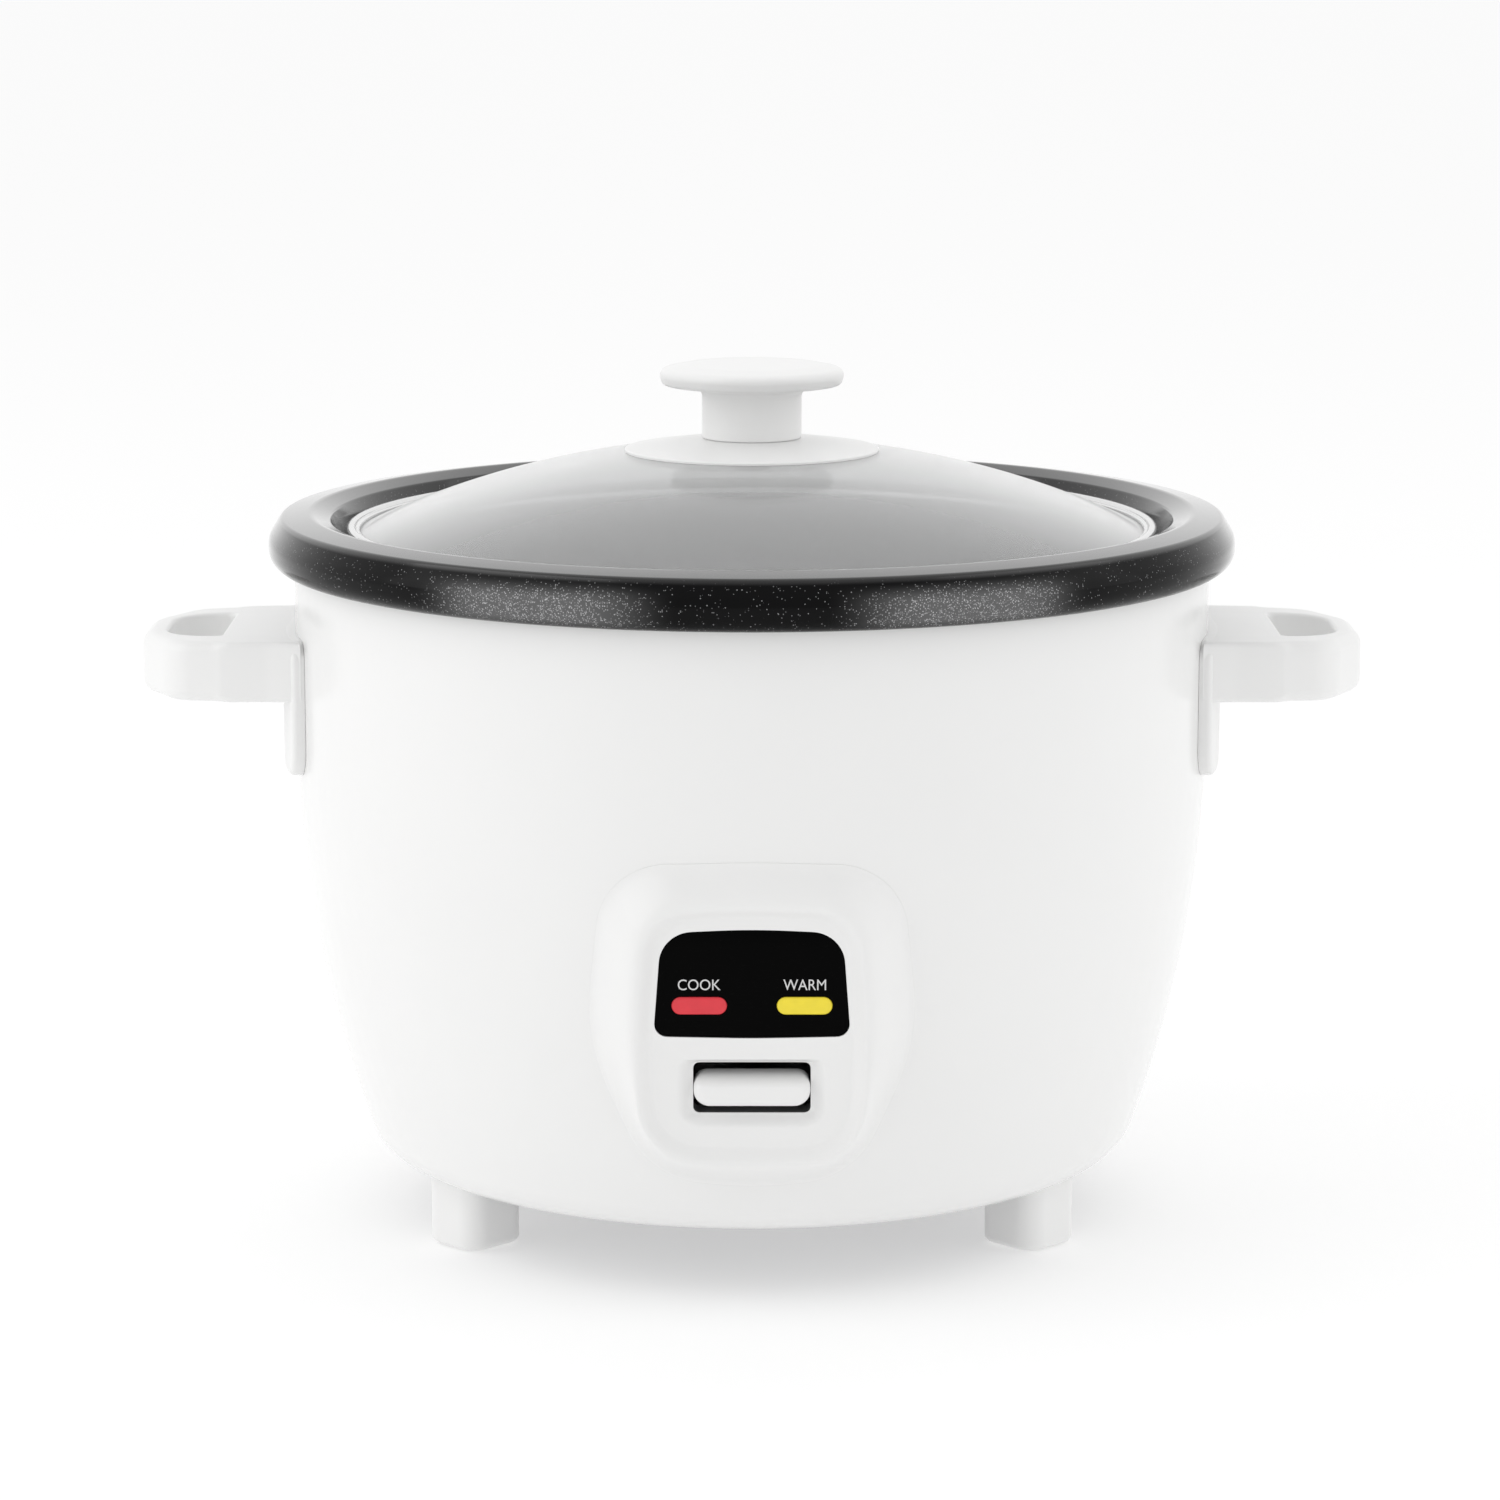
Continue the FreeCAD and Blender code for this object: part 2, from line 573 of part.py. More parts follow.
def make_heating_plate():
    """Cast aluminium heating plate with the sensor's hole in the middle."""
    disc = revolved([(SENSOR_RADIUS + 1.5, PLATE_BOTTOM), (PLATE_RADIUS, PLATE_BOTTOM),
                     (PLATE_RADIUS, PLATE_TOP, 1.0), (SENSOR_RADIUS + 1.5, PLATE_TOP, 1.0)])
    coil = revolved([(62, PLATE_BOTTOM - 5), (74, PLATE_BOTTOM - 5, 3), (74, PLATE_BOTTOM + 1),
                     (62, PLATE_BOTTOM + 1)])
    return joined([disc, coil])


def make_plate_legs():
    """Ceramic pillars between the cover and the plate's cast heating ring."""
    return around(rod(4.0, PLATE_BOTTOM - COVER_TOP, (54, 0, COVER_TOP)), FOOT_ANGLES)


def make_heater_terminal(side):
    """Ceramic bead and stud where the mains wire meets the heating ring."""
    x, y = side * 30, 61.5
    return joined([rod(4.0, 4.0, (x, y, PLATE_BOTTOM - 9)), rod(1.8, 7.0, (x, y, PLATE_BOTTOM - 12))])


def make_sensor_cup():
    """Thin aluminium cap that the pot presses down."""
    return revolved([(0, PLATE_TOP), (SENSOR_RADIUS, PLATE_TOP, 1.0), (SENSOR_RADIUS, 46), (SLEEVE_BORE, 46),
                     (SLEEVE_BORE, PLATE_TOP - 1.5), (0, PLATE_TOP - 1.5)])


def make_sensor_sleeve():
    """Fixed guide under the plate: the cap slides on its outside and the spring stands inside it."""
    outer = SLEEVE_BORE - RUNNING_GAP
    tube = revolved([(11.5, 42), (26.5, 42), (26.5, 43.2), (outer, 43.2), (outer, 57.4), (14.8, 57.4),
                     (14.8, 43.2), (11.5, 43.2)])
    return joined([tube] + around(rod(1.8, PLATE_BOTTOM - 43, (23.8, 0, 43)), FOOT_ANGLES))


def make_sensor_spring():
    """Compression spring between the sleeve's ledge and the cap."""
    wire_radius = 0.6
    coil_radius = 13.2
    low = 43.2 + wire_radius + 0.1
    helix = Part.makeHelix(3.6, 14.4, coil_radius)
    section = Part.Wire(Part.makeCircle(wire_radius, Vector(coil_radius, 0, 0), Vector(0, 1, 0)))
    spring = Part.Wire(helix).makePipeShell([section], True, True)
    spring.translate(Vector(0, 0, low))
    return spring


def make_magnet_rod():
    """Rod that hangs in the end of the lever arm between two collars and lifts the magnet."""
    foot = PIVOT_Z - 5
    return joined([rod(2.4, MAGNET_BOTTOM - foot, (0, 0, foot)), rod(5.0, 2.5, (0, 0, foot + 0.2)),
                   rod(5.0, 1.6, (0, 0, PIVOT_Z + 2.2))])


def make_micro_switch():
    """Switch that changes from warming to cooking when the arm lifts its plunger."""
    case = block((-8, SWITCH_Y - 8, 41.5), (8, SWITCH_Y + 8, 46.8))
    return case.cut(rod(1.6, 4, (0, SWITCH_Y, 41)))


def make_switch_bracket():
    """Angle bracket that carries the switch from the cover."""
    return joined([block((8, SWITCH_Y - 8, COVER_TOP), (9.2, SWITCH_Y + 8, 46.8)),
                   block((8, SWITCH_Y - 8, COVER_TOP), (22, SWITCH_Y + 8, COVER_TOP + 1.2))])


def make_inlet_housing():
    """Plastic shroud for the lift-off mains lead, with a flange against the rear of the body."""
    wide, tall = INLET_HALF_WIDTH, INLET_HALF_HEIGHT
    box = block((-wide, INLET_BACK, INLET_LEVEL - tall), (wide, INLET_FACE, INLET_LEVEL + tall))
    outline = [(wide + 4, INLET_LEVEL - tall - 4, 4), (wide + 4, INLET_LEVEL + tall + 4, 4),
               (-wide - 4, INLET_LEVEL + tall + 4, 4), (-wide - 4, INLET_LEVEL - tall - 4, 4)]
    flange = front_prism(outline, 104, INLET_FACE - 104).cut(body_envelope(TOUCH))
    hollow = block((-13, INLET_BACK + 2, INLET_LEVEL - 8), (13, INLET_FACE + 5, INLET_LEVEL + 8))
    pin_holes = [rod(2.0 + TOUCH, 10, (side * 6, 95, INLET_LEVEL), Vector(0, 1, 0)) for side in (-1, 1)]
    return joined([box, flange]).cut([hollow] + pin_holes)


def make_mains_wire(side):
    """Insulated wire from an inlet pin to its heater terminal."""
    route = [(6, 96.9, INLET_LEVEL), (6, 89, INLET_LEVEL), (22, 78, 31), (30, 66, 30), (30, 61.5, 39)]
    path = bent_path([Vector(side * x, y, z) for x, y, z in route], 3.0)
    section = Part.Wire(Part.makeCircle(1.3, path.Vertexes[0].Point, Vector(0, -1, 0)))
    return path.makePipeShell([section], True, False)


BUILD = {
    "body_shell": make_body_shell,
    "top_ring": make_top_ring,
    "liner": make_liner,
    "inner_pot": make_inner_pot,
    "lid_glass": make_lid_glass,
    "lid_ring": make_lid_ring,
    "lid_knob_base": make_knob_base,
    "lid_knob_cap": make_knob_cap,
    "lid_washer": make_lid_washer,
    "lid_screw": make_lid_screw,
    "lid_vent_grommet": make_vent_grommet,
    "bottom_cover": make_bottom_cover,
    "panel_bezel": make_panel_bezel,
    "indicator_window": make_indicator_window,
    "lever_arm": make_lever_arm,
    "lever_knob": make_lever_knob,
    "lever_pin": make_lever_pin,
    "lever_bracket": make_lever_bracket,
    "heating_plate": make_heating_plate,
    "sensor_cup": make_sensor_cup,
    "sensor_sleeve": make_sensor_sleeve,
    "sensor_spring": make_sensor_spring,
    "magnet_rod": make_magnet_rod,
    "micro_switch": make_micro_switch,
    "switch_bracket": make_switch_bracket,
    "inlet_housing": make_inlet_housing,
}


def all_parts():
    """Every sub-part by name."""
    parts = {name: build() for name, build in BUILD.items()}
    ferrite_bottom = PLATE_TOP - 1.5 - SENSOR_FERRITE_THICKNESS
    parts["sensor_ferrite"] = rod(11.0, SENSOR_FERRITE_THICKNESS, (0, 0, ferrite_bottom))
    parts["magnet"] = rod(MAGNET_RADIUS, MAGNET_THICKNESS, (0, 0, MAGNET_BOTTOM))
    parts["switch_plunger"] = rod(1.5, 5.0, (0, SWITCH_Y, 38.0))
    parts["thermal_fuse"] = rod(2.6, 16, (-53, 12, PLATE_BOTTOM - 2.7), Vector(1, 0, 0))
    parts["warm_thermostat"] = rod(9.0, 7.0, (42, 12, PLATE_BOTTOM - 7.05))
    handle = make_handle()
    parts["handle_right"] = handle
    parts["handle_left"] = mirror_x(handle)
    for place, y in zip(("front", "rear"), HANDLE_SCREW_Y):
        screw = make_handle_screw(y)
        parts["handle_screw_right_" + place] = screw
        parts["handle_screw_left_" + place] = mirror_x(screw)
    for side, mode in ((-1, "cook"), (1, "warm")):
        parts[mode + "_lens"] = make_lens(side)
        parts[mode + "_lamp"] = make_lamp(side)
    for side, hand in ((-1, "left"), (1, "right")):
        parts["heater_terminal_" + hand] = make_heater_terminal(side)
        parts["inlet_pin_" + hand] = rod(2.0, 20, (side * 6, 97, INLET_LEVEL), Vector(0, 1, 0))
        parts["mains_wire_" + hand] = make_mains_wire(side)
    for name, copies in (("foot", make_feet()), ("foot_pad", make_foot_pads()),
                         ("cover_screw", make_cover_screws()), ("plate_leg", make_plate_legs())):
        for index, shape in enumerate(copies, start=1):
            parts[name + "_" + str(index)] = shape
    return parts


os.makedirs("parts", exist_ok=True)
for node, shape in all_parts().items():
    solids = shape.Solids
    if len(solids) != 1:
        raise ValueError(node + " is not one solid: " + str(len(solids)))
    solids[0].exportStep("parts/" + node + ".step")
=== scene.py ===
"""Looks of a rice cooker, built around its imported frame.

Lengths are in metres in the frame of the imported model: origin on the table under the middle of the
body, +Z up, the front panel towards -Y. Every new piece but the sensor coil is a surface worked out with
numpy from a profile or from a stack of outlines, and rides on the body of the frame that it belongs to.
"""
import json
import logging
import math
from dataclasses import dataclass, field
from enum import Enum
from typing import Callable, Iterable, Sequence

import bmesh
import bpy
import numpy as np
from mathutils import Matrix, Vector
from mathutils.geometry import tessellate_polygon


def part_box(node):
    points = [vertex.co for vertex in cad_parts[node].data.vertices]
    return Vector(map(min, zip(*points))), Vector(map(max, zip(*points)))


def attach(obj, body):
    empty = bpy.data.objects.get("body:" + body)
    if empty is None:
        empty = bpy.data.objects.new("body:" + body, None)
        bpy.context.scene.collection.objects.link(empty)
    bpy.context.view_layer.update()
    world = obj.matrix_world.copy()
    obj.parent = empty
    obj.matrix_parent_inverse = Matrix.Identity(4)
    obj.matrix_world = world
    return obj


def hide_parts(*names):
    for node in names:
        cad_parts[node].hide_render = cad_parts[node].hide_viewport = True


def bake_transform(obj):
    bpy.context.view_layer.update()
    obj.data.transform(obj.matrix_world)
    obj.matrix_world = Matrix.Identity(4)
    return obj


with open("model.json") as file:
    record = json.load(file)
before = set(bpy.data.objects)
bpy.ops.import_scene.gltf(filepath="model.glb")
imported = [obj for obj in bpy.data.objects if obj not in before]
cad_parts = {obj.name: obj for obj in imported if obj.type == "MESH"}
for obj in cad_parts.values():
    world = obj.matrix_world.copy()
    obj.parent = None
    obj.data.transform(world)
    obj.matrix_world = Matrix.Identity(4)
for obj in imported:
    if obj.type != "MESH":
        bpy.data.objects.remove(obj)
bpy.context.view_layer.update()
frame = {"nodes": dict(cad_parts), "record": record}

LOG = logging.getLogger("rice_cooker")
MM = 0.001
MERGE = 1e-6
WHITE = (1.0, 1.0, 1.0)
Corner = tuple[float, ...]


class Body(Enum):
    """Bodies of the frame that a piece can ride on."""

    COOKER = "cooker"
    POT = "pot"
    LID = "lid"
    LEVER = "lever"
    SENSOR = "sensor"


class Side(Enum):
    """The two sides of the cooker, as the sign of X."""

    LEFT = -1
    RIGHT = 1


# --- outlines -----------------------------------------------------------------------------------


def rounded_outline(corners: Sequence[Corner], steps: int = 10, closed: bool = True) -> np.ndarray:
    """Points along a polygon whose corners are arcs.

    An arc of radius r touches both edges at r / tan(half the corner's angle) from the corner, and its
    centre lies on the corner's bisector at r / sin(half the angle).

    Args:
        corners: (a, b) or (a, b, radius) for each corner, in order.
        steps: number of steps in each arc.
        closed: whether the last corner joins the first.

    Returns:
        Array of shape (n, 2).
    """
    flat = np.array([corner[:2] for corner in corners], float)
    found: list[np.ndarray] = []
    for index, corner in enumerate(corners):
        radius = corner[2] if len(corner) > 2 else 0.0
        inner = closed or 0 < index < len(corners) - 1
        if radius <= 0 or not inner:
            found.append(flat[index][None, :])
            continue
        here = flat[index]
        back = flat[index - 1] - here
        ahead = flat[(index + 1) % len(flat)] - here
        back, ahead = back / np.linalg.norm(back), ahead / np.linalg.norm(ahead)
        half = math.acos(float(np.clip(back @ ahead, -1, 1))) / 2
        bisector = (back + ahead) / np.linalg.norm(back + ahead)
        centre = here + bisector * radius / math.sin(half)
        enter = here + back * radius / math.tan(half) - centre
        leave = here + ahead * radius / math.tan(half) - centre
        start = math.atan2(enter[1], enter[0])
        turn = (math.atan2(leave[1], leave[0]) - start + math.pi) % (2 * math.pi) - math.pi
        angles = start + turn * np.linspace(0, 1, steps + 1)
        found.append(centre + radius * np.stack([np.cos(angles), np.sin(angles)], axis=1))
    return np.concatenate(found)


def resampled(outline: np.ndarray, count: int) -> np.ndarray:
    """The same closed outline with evenly spaced points, by linear interpolation along its length.

    Args:
        outline: array of shape (n, 2).
        count: number of points wanted.

    Returns:
        Array of shape (count, 2).
    """
    path = np.concatenate([outline, outline[:1]])
    reach = np.concatenate([[0.0], np.cumsum(np.linalg.norm(np.diff(path, axis=0), axis=1))])
    wanted = np.linspace(0, reach[-1], count + 1)[:-1]
    return np.stack([np.interp(wanted, reach, path[:, axis]) for axis in (0, 1)], axis=1)


def refined(profile: np.ndarray, longest: float) -> np.ndarray:
    """Profile with extra points on its long straight stretches, so that no step exceeds a length.

    Args:
        profile: array of shape (n, 2).
        longest: longest step allowed.

    Returns:
        Array of shape (m, 2).
    """
    pieces = []
    for start, end in zip(profile, profile[1:]):
        count = max(1, math.ceil(float(np.linalg.norm(end - start)) / longest))
        pieces.append(start + (end - start) * np.arange(count)[:, None] / count)
    return np.concatenate(pieces + [profile[-1:]])


def inset(outline: np.ndarray, depth: float | np.ndarray) -> np.ndarray:
    """Outline moved inwards along its normals: the mean direction of two edges turned by 90 degrees.

    Args:
        outline: closed outline that runs anticlockwise, of shape (n, 2).
        depth: distance to move, one value or one for each point; negative moves outwards.

    Returns:
        Array of the same shape.
    """
    along = np.roll(outline, -1, axis=0) - np.roll(outline, 1, axis=0)
    normal = np.stack([-along[:, 1], along[:, 0]], axis=1)
    normal /= np.maximum(np.linalg.norm(normal, axis=1, keepdims=True), 1e-12)
    return outline + np.reshape(depth, (-1, 1)) * normal


def by_angle(outline: np.ndarray, centre: tuple[float, float], count: int) -> np.ndarray:
    """Points of an outline at even angles round a centre, so that two outlines join point to point.

    Args:
        outline: closed anticlockwise outline of shape (n, 2) that the centre sees whole.
        centre: the centre of the angles.
        count: number of points wanted.

    Returns:
        Array of shape (count, 2).
    """
    path = resampled(outline, 4 * count)
    angles = np.unwrap(np.arctan2(path[:, 1] - centre[1], path[:, 0] - centre[0]))
    wanted = np.linspace(0, 2 * math.pi, count, endpoint=False)
    shifted = (wanted - angles[0]) % (2 * math.pi) + angles[0]
    path, angles = np.concatenate([path, path[:1]]), np.append(angles, angles[0] + 2 * math.pi)
    return np.stack([np.interp(shifted, angles, path[:, axis]) for axis in (0, 1)], axis=1)


def mirrored(right: Sequence[Corner]) -> list[Corner]:
    """Symmetric outline: the right-hand corners from bottom to top, then their mirror images."""
    left = [(-corner[0], *corner[1:]) for corner in reversed(right) if corner[0] != 0]
    return [*right, *left]


def smooth(share: float | np.ndarray) -> float | np.ndarray:
    """Smooth step of a share s from 0 to 1: s * s * (3 - 2 s)."""
    return share * share * (3 - 2 * share)


def shrunk(outline: np.ndarray, centre: np.ndarray, shares: Iterable[float]) -> list[np.ndarray]:
    """Copies of an outline, each drawn in towards a centre to a share of its size."""
    return [centre + (outline - centre) * share for share in shares]


def quarter(radius: float, steps: int) -> list[tuple[float, float]]:
    """Rounded edge: insets r (1 - cos a) with drops r (1 - sin a), for a from 0 to 90 degrees."""
    turn = np.linspace(0, math.pi / 2, steps)
    return [(radius * (1 - math.cos(angle)), radius * (1 - math.sin(angle))) for angle in turn]


# --- meshes -------------------------------------------------------------------------------------


@dataclass
class Skin:
    """Vertices and faces gathered from several surfaces before they become one mesh."""

    points: list[np.ndarray] = field(default_factory=list)
    faces: list[tuple[int, ...]] = field(default_factory=list)
    count: int = 0

    def add(self, points: np.ndarray, faces: Iterable[Sequence[int]]) -> None:
        """Adds one surface.

        Args:
            points: array of shape (n, 3).
            faces: vertex numbers of each face, counted from this surface's first point.
        """
        self.faces += [tuple(number + self.count for number in face) for face in faces]
        self.points.append(points.reshape(-1, 3))
        self.count += len(self.points[-1])

    def add_rings(self, rings: np.ndarray, through: bool = False) -> None:
        """Adds a grid of quads between neighbouring closed rings.

        Args:
            rings: array of shape (rings, points, 3).
            through: whether the last ring joins the first.
        """
        rows, columns = rings.shape[:2]
        row = np.arange(rows if through else rows - 1)[:, None]
        here = np.arange(columns)[None, :]
        right, up = (here + 1) % columns, (row + 1) % rows
        quads = np.stack([row * columns + here, row * columns + right, up * columns + right,
                          up * columns + here], axis=-1)
        self.add(rings, quads.reshape(-1, 4).tolist())

    def add_fill(self, outer: np.ndarray, holes: Sequence[np.ndarray],
                 lift: Callable[[np.ndarray], np.ndarray]) -> None:
        """Adds triangles that fill an outline with holes in it.

        Args:
            outer: outline of shape (n, 2).
            holes: outlines inside it.
            lift: turns flat points into points of shape (n, 3).
        """
        loops = [outer, *holes]
        triangles = tessellate_polygon([[Vector((a, b, 0)) for a, b in loop] for loop in loops])
        self.add(lift(np.concatenate(loops)), triangles)

    def mesh(self, name: str) -> bpy.types.Mesh:
        """One mesh of all surfaces, with shared points merged and faces turned outwards."""
        data = bpy.data.meshes.new(name)
        data.from_pydata(np.concatenate(self.points), [], self.faces)
        work = bmesh.new()
        work.from_mesh(data)
        bmesh.ops.remove_doubles(work, verts=work.verts, dist=MERGE)
        bmesh.ops.dissolve_degenerate(work, edges=work.edges, dist=MERGE)
        bmesh.ops.recalc_face_normals(work, faces=work.faces)
        work.to_mesh(data)
        work.free()
        return data


def linked(name: str, data: bpy.types.ID) -> bpy.types.Object:
    """A new object for some data, in the scene."""
    made = bpy.data.objects.new(name, data)
    bpy.context.scene.collection.objects.link(made)
    return made


def place_piece(name: str, shape: Skin | bpy.types.Mesh, body: Body,
                sharp: float = 35.0) -> bpy.types.Object:
    """Makes a shape a piece at the origin, smooth except at edges sharper than an angle, on its body.

    Args:
        name: the piece's name.
        shape: its surfaces or its mesh, already in the frame's place.
        body: the body that it rides on.
        sharp: angle in degrees above which an edge stays crisp.

    Returns:
        The new object.
    """
    data = shape.mesh(name) if isinstance(shape, Skin) else shape
    piece = linked(name, data)
    data.shade_smooth()
    data.set_sharp_from_angle(angle=math.radians(sharp))
    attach(piece, body.value)
    LOG.info("%s: %d faces on %s", name, len(data.polygons), body.value)
    return piece


def evaluated_mesh(source: bpy.types.Object) -> bpy.types.Mesh:
    """New mesh of an object as its modifiers or its curve leave it."""
    return bpy.data.meshes.new_from_object(source.evaluated_get(bpy.context.evaluated_depsgraph_get()))


def spun(profile: np.ndarray, segments: int = 256) -> Skin:
    """Surface of revolution: each (r, z) of the profile at angle t becomes (r cos t, r sin t, z).

    Args:
        profile: closed profile of shape (n, 2), which may touch the axis.
        segments: number of steps round the axis.

    Returns:
        A skin with one ring for each profile point.
    """
    angles = np.linspace(0, 2 * math.pi, segments, endpoint=False)
    loop = np.concatenate([profile, profile[:1]])
    radius, height = loop[:, :1], loop[:, 1:]
    rings = np.stack([radius * np.cos(angles), radius * np.sin(angles), height + 0 * angles], axis=-1)
    skin = Skin()
    skin.add_rings(rings)
    return skin


# --- shader maths -------------------------------------------------------------------------------


class Wire:
    """A value on its way between shader nodes, so that maths on it is written as a formula."""

    def __init__(self, bench: "Bench", socket: bpy.types.NodeSocket) -> None:
        """Wraps an output socket.

        Args:
            bench: the node tree being built.
            socket: the output that carries the value.
        """
        self.bench = bench
        self.socket = socket

    def __add__(self, other: "Wire | float") -> "Wire":
        """Sum."""
        return self.bench.maths("ADD", self, other)

    def __radd__(self, other: float) -> "Wire":
        """Sum, value first."""
        return self.bench.maths("ADD", other, self)

    def __rsub__(self, other: float) -> "Wire":
        """Difference, value first."""
        return self.bench.maths("SUBTRACT", other, self)

    def __mul__(self, other: "Wire | float") -> "Wire":
        """Product."""
        return self.bench.maths("MULTIPLY", self, other)

    def __rmul__(self, other: float) -> "Wire":
        """Product, value first."""
        return self.bench.maths("MULTIPLY", other, self)

    def __gt__(self, other: "Wire | float") -> "Wire":
        """One where this value is the greater, else zero."""
        return self.bench.maths("GREATER_THAN", self, other)

    def __lt__(self, other: "Wire | float") -> "Wire":
        """One where this value is the smaller, else zero."""
        return self.bench.maths("LESS_THAN", self, other)

    def ramp(self, low: float, high: float, start: float = 0.0, end: float = 1.0) -> "Wire":
        """Smooth step from start at low to end at high.

        Args:
            low: value where the step begins.
            high: value where it ends.
            start: result below low.
            end: result above high.

        Returns:
            The stepped value.
        """
        return self.bench.node("ShaderNodeMapRange", {"interpolation_type": "SMOOTHSTEP"},
                               {"Value": self, "From Min": low, "From Max": high,
                                "To Min": start, "To Max": end}).out()


@dataclass
class Placed:
    """A node that stands on the bench."""

    bench: "Bench"
    node: bpy.types.Node

    def out(self, name: str | int = 0) -> Wire:
        """The value at one of its outputs."""
        return Wire(self.bench, self.node.outputs[name])


class Bench:
    """One material's node tree while it is being built."""

    def __init__(self, name: str) -> None:
        """Starts an empty material.

        Args:
            name: the material's name.
        """
        self.material = bpy.data.materials.new(name)
        self.material.use_nodes = True
        self.tree = self.material.node_tree
        self.tree.nodes.clear()

    @classmethod
    def on(cls, tree: bpy.types.NodeTree) -> "Bench":
        """A bench for a tree that already stands, such as the world's."""
        bench = cls.__new__(cls)
        bench.material, bench.tree = None, tree
        return bench

    def node(self, kind: str, settings: dict[str, object] | None = None,
             values: dict[str | int, "Wire | float | Sequence[float]"] | None = None) -> Placed:
        """Adds a node.

        Args:
            kind: the node's type name.
            settings: properties that are set before its sockets.
            values: a value or a link for each input named.

        Returns:
            The node, placed.
        """
        made = self.tree.nodes.new(kind)
        for name, value in (settings or {}).items():
            setattr(made, name, value)
        for name, value in (values or {}).items():
            self.feed(made.inputs[name], value)
        return Placed(self, made)

    def feed(self, socket: bpy.types.NodeSocket, value: "Wire | float | Sequence[float]") -> None:
        """Links a wire to an input, or sets its value; a colour gets a full alpha."""
        if isinstance(value, Wire):
            self.tree.links.new(value.socket, socket)
        else:
            socket.default_value = (*value, 1.0) if socket.type == "RGBA" else value

    def maths(self, operation: str, *values: "Wire | float") -> Wire:
        """A Math node of one operation on one or two values."""
        return self.node("ShaderNodeMath", {"operation": operation}, dict(enumerate(values))).out()

    def place(self) -> Wire:
        """Position on the piece in its own metres."""
        return self.node("ShaderNodeTexCoord").out("Object")

    def noise(self, size: float, detail: float = 2.0, roughness: float = 0.5) -> Wire:
        """Cloudy noise from 0 to 1 whose features are about a size across, in metres."""
        return self.node("ShaderNodeTexNoise", {"noise_dimensions": "3D"},
                         {"Vector": self.place(), "Scale": 1 / size, "Detail": detail,
                          "Roughness": roughness}).out("Fac")

    def cells(self, size: float) -> Placed:
        """Voronoi cells about a size across, in metres."""
        return self.node("ShaderNodeTexVoronoi", {"feature": "F1", "voronoi_dimensions": "3D"},
                         {"Vector": self.place(), "Scale": 1 / size})

    def mix(self, mask: Wire | float, first: "Wire | Sequence[float]",
            second: "Wire | Sequence[float]") -> Wire:
        """Colour that goes from first to second as mask goes from 0 to 1."""
        placed = self.node("ShaderNodeMix", {"data_type": "RGBA"})
        for number, value in zip((0, 6, 7), (mask, first, second)):
            self.feed(placed.node.inputs[number], value)
        return placed.out(2)

    def bump(self, height: Wire, depth: float, strength: float = 1.0) -> Wire:
        """Normal of a surface raised by height times a depth in metres."""
        return self.node("ShaderNodeBump", None,
                         {"Height": height, "Distance": depth, "Strength": strength}).out()

    def finish(self, shader: Wire) -> bpy.types.Material:
        """Joins the shader to the material's output."""
        self.node("ShaderNodeOutputMaterial", None, {"Surface": shader})
        return self.material

    def principled(self, **values: "Wire | float | Sequence[float]") -> Wire:
        """A Principled shader; an underscore in a name stands for a space."""
        named = {name.replace("_", " "): value for name, value in values.items()}
        return self.node("ShaderNodeBsdfPrincipled", None, named).out()


# --- finishes -----------------------------------------------------------------------------------


@dataclass(frozen=True)
class WhitePlastic:
    """Gloss white moulding: a faint cloudiness in the gloss and a shallow orange-peel surface."""

    name: str
    colour: tuple[float, float, float] = (0.86, 0.86, 0.85)
    roughness: float = 0.22
    coat: float = 0.35

    def make(self) -> bpy.types.Material:
        """The finish as a material."""
        bench = Bench(self.name)
        clouds = bench.noise(0.045, 3.0)
        peel = bench.noise(0.0035, 2.0)
        darker = tuple(value * 0.975 for value in self.colour)
        return bench.finish(bench.principled(
            Base_Color=bench.mix(clouds, darker, self.colour),
            Roughness=self.roughness - 0.04 + 0.08 * bench.noise(0.012, 4.0),
            Coat_Weight=self.coat, Coat_Roughness=0.12, IOR=1.48,
            Normal=bench.bump(peel, 0.00002, 0.5)))


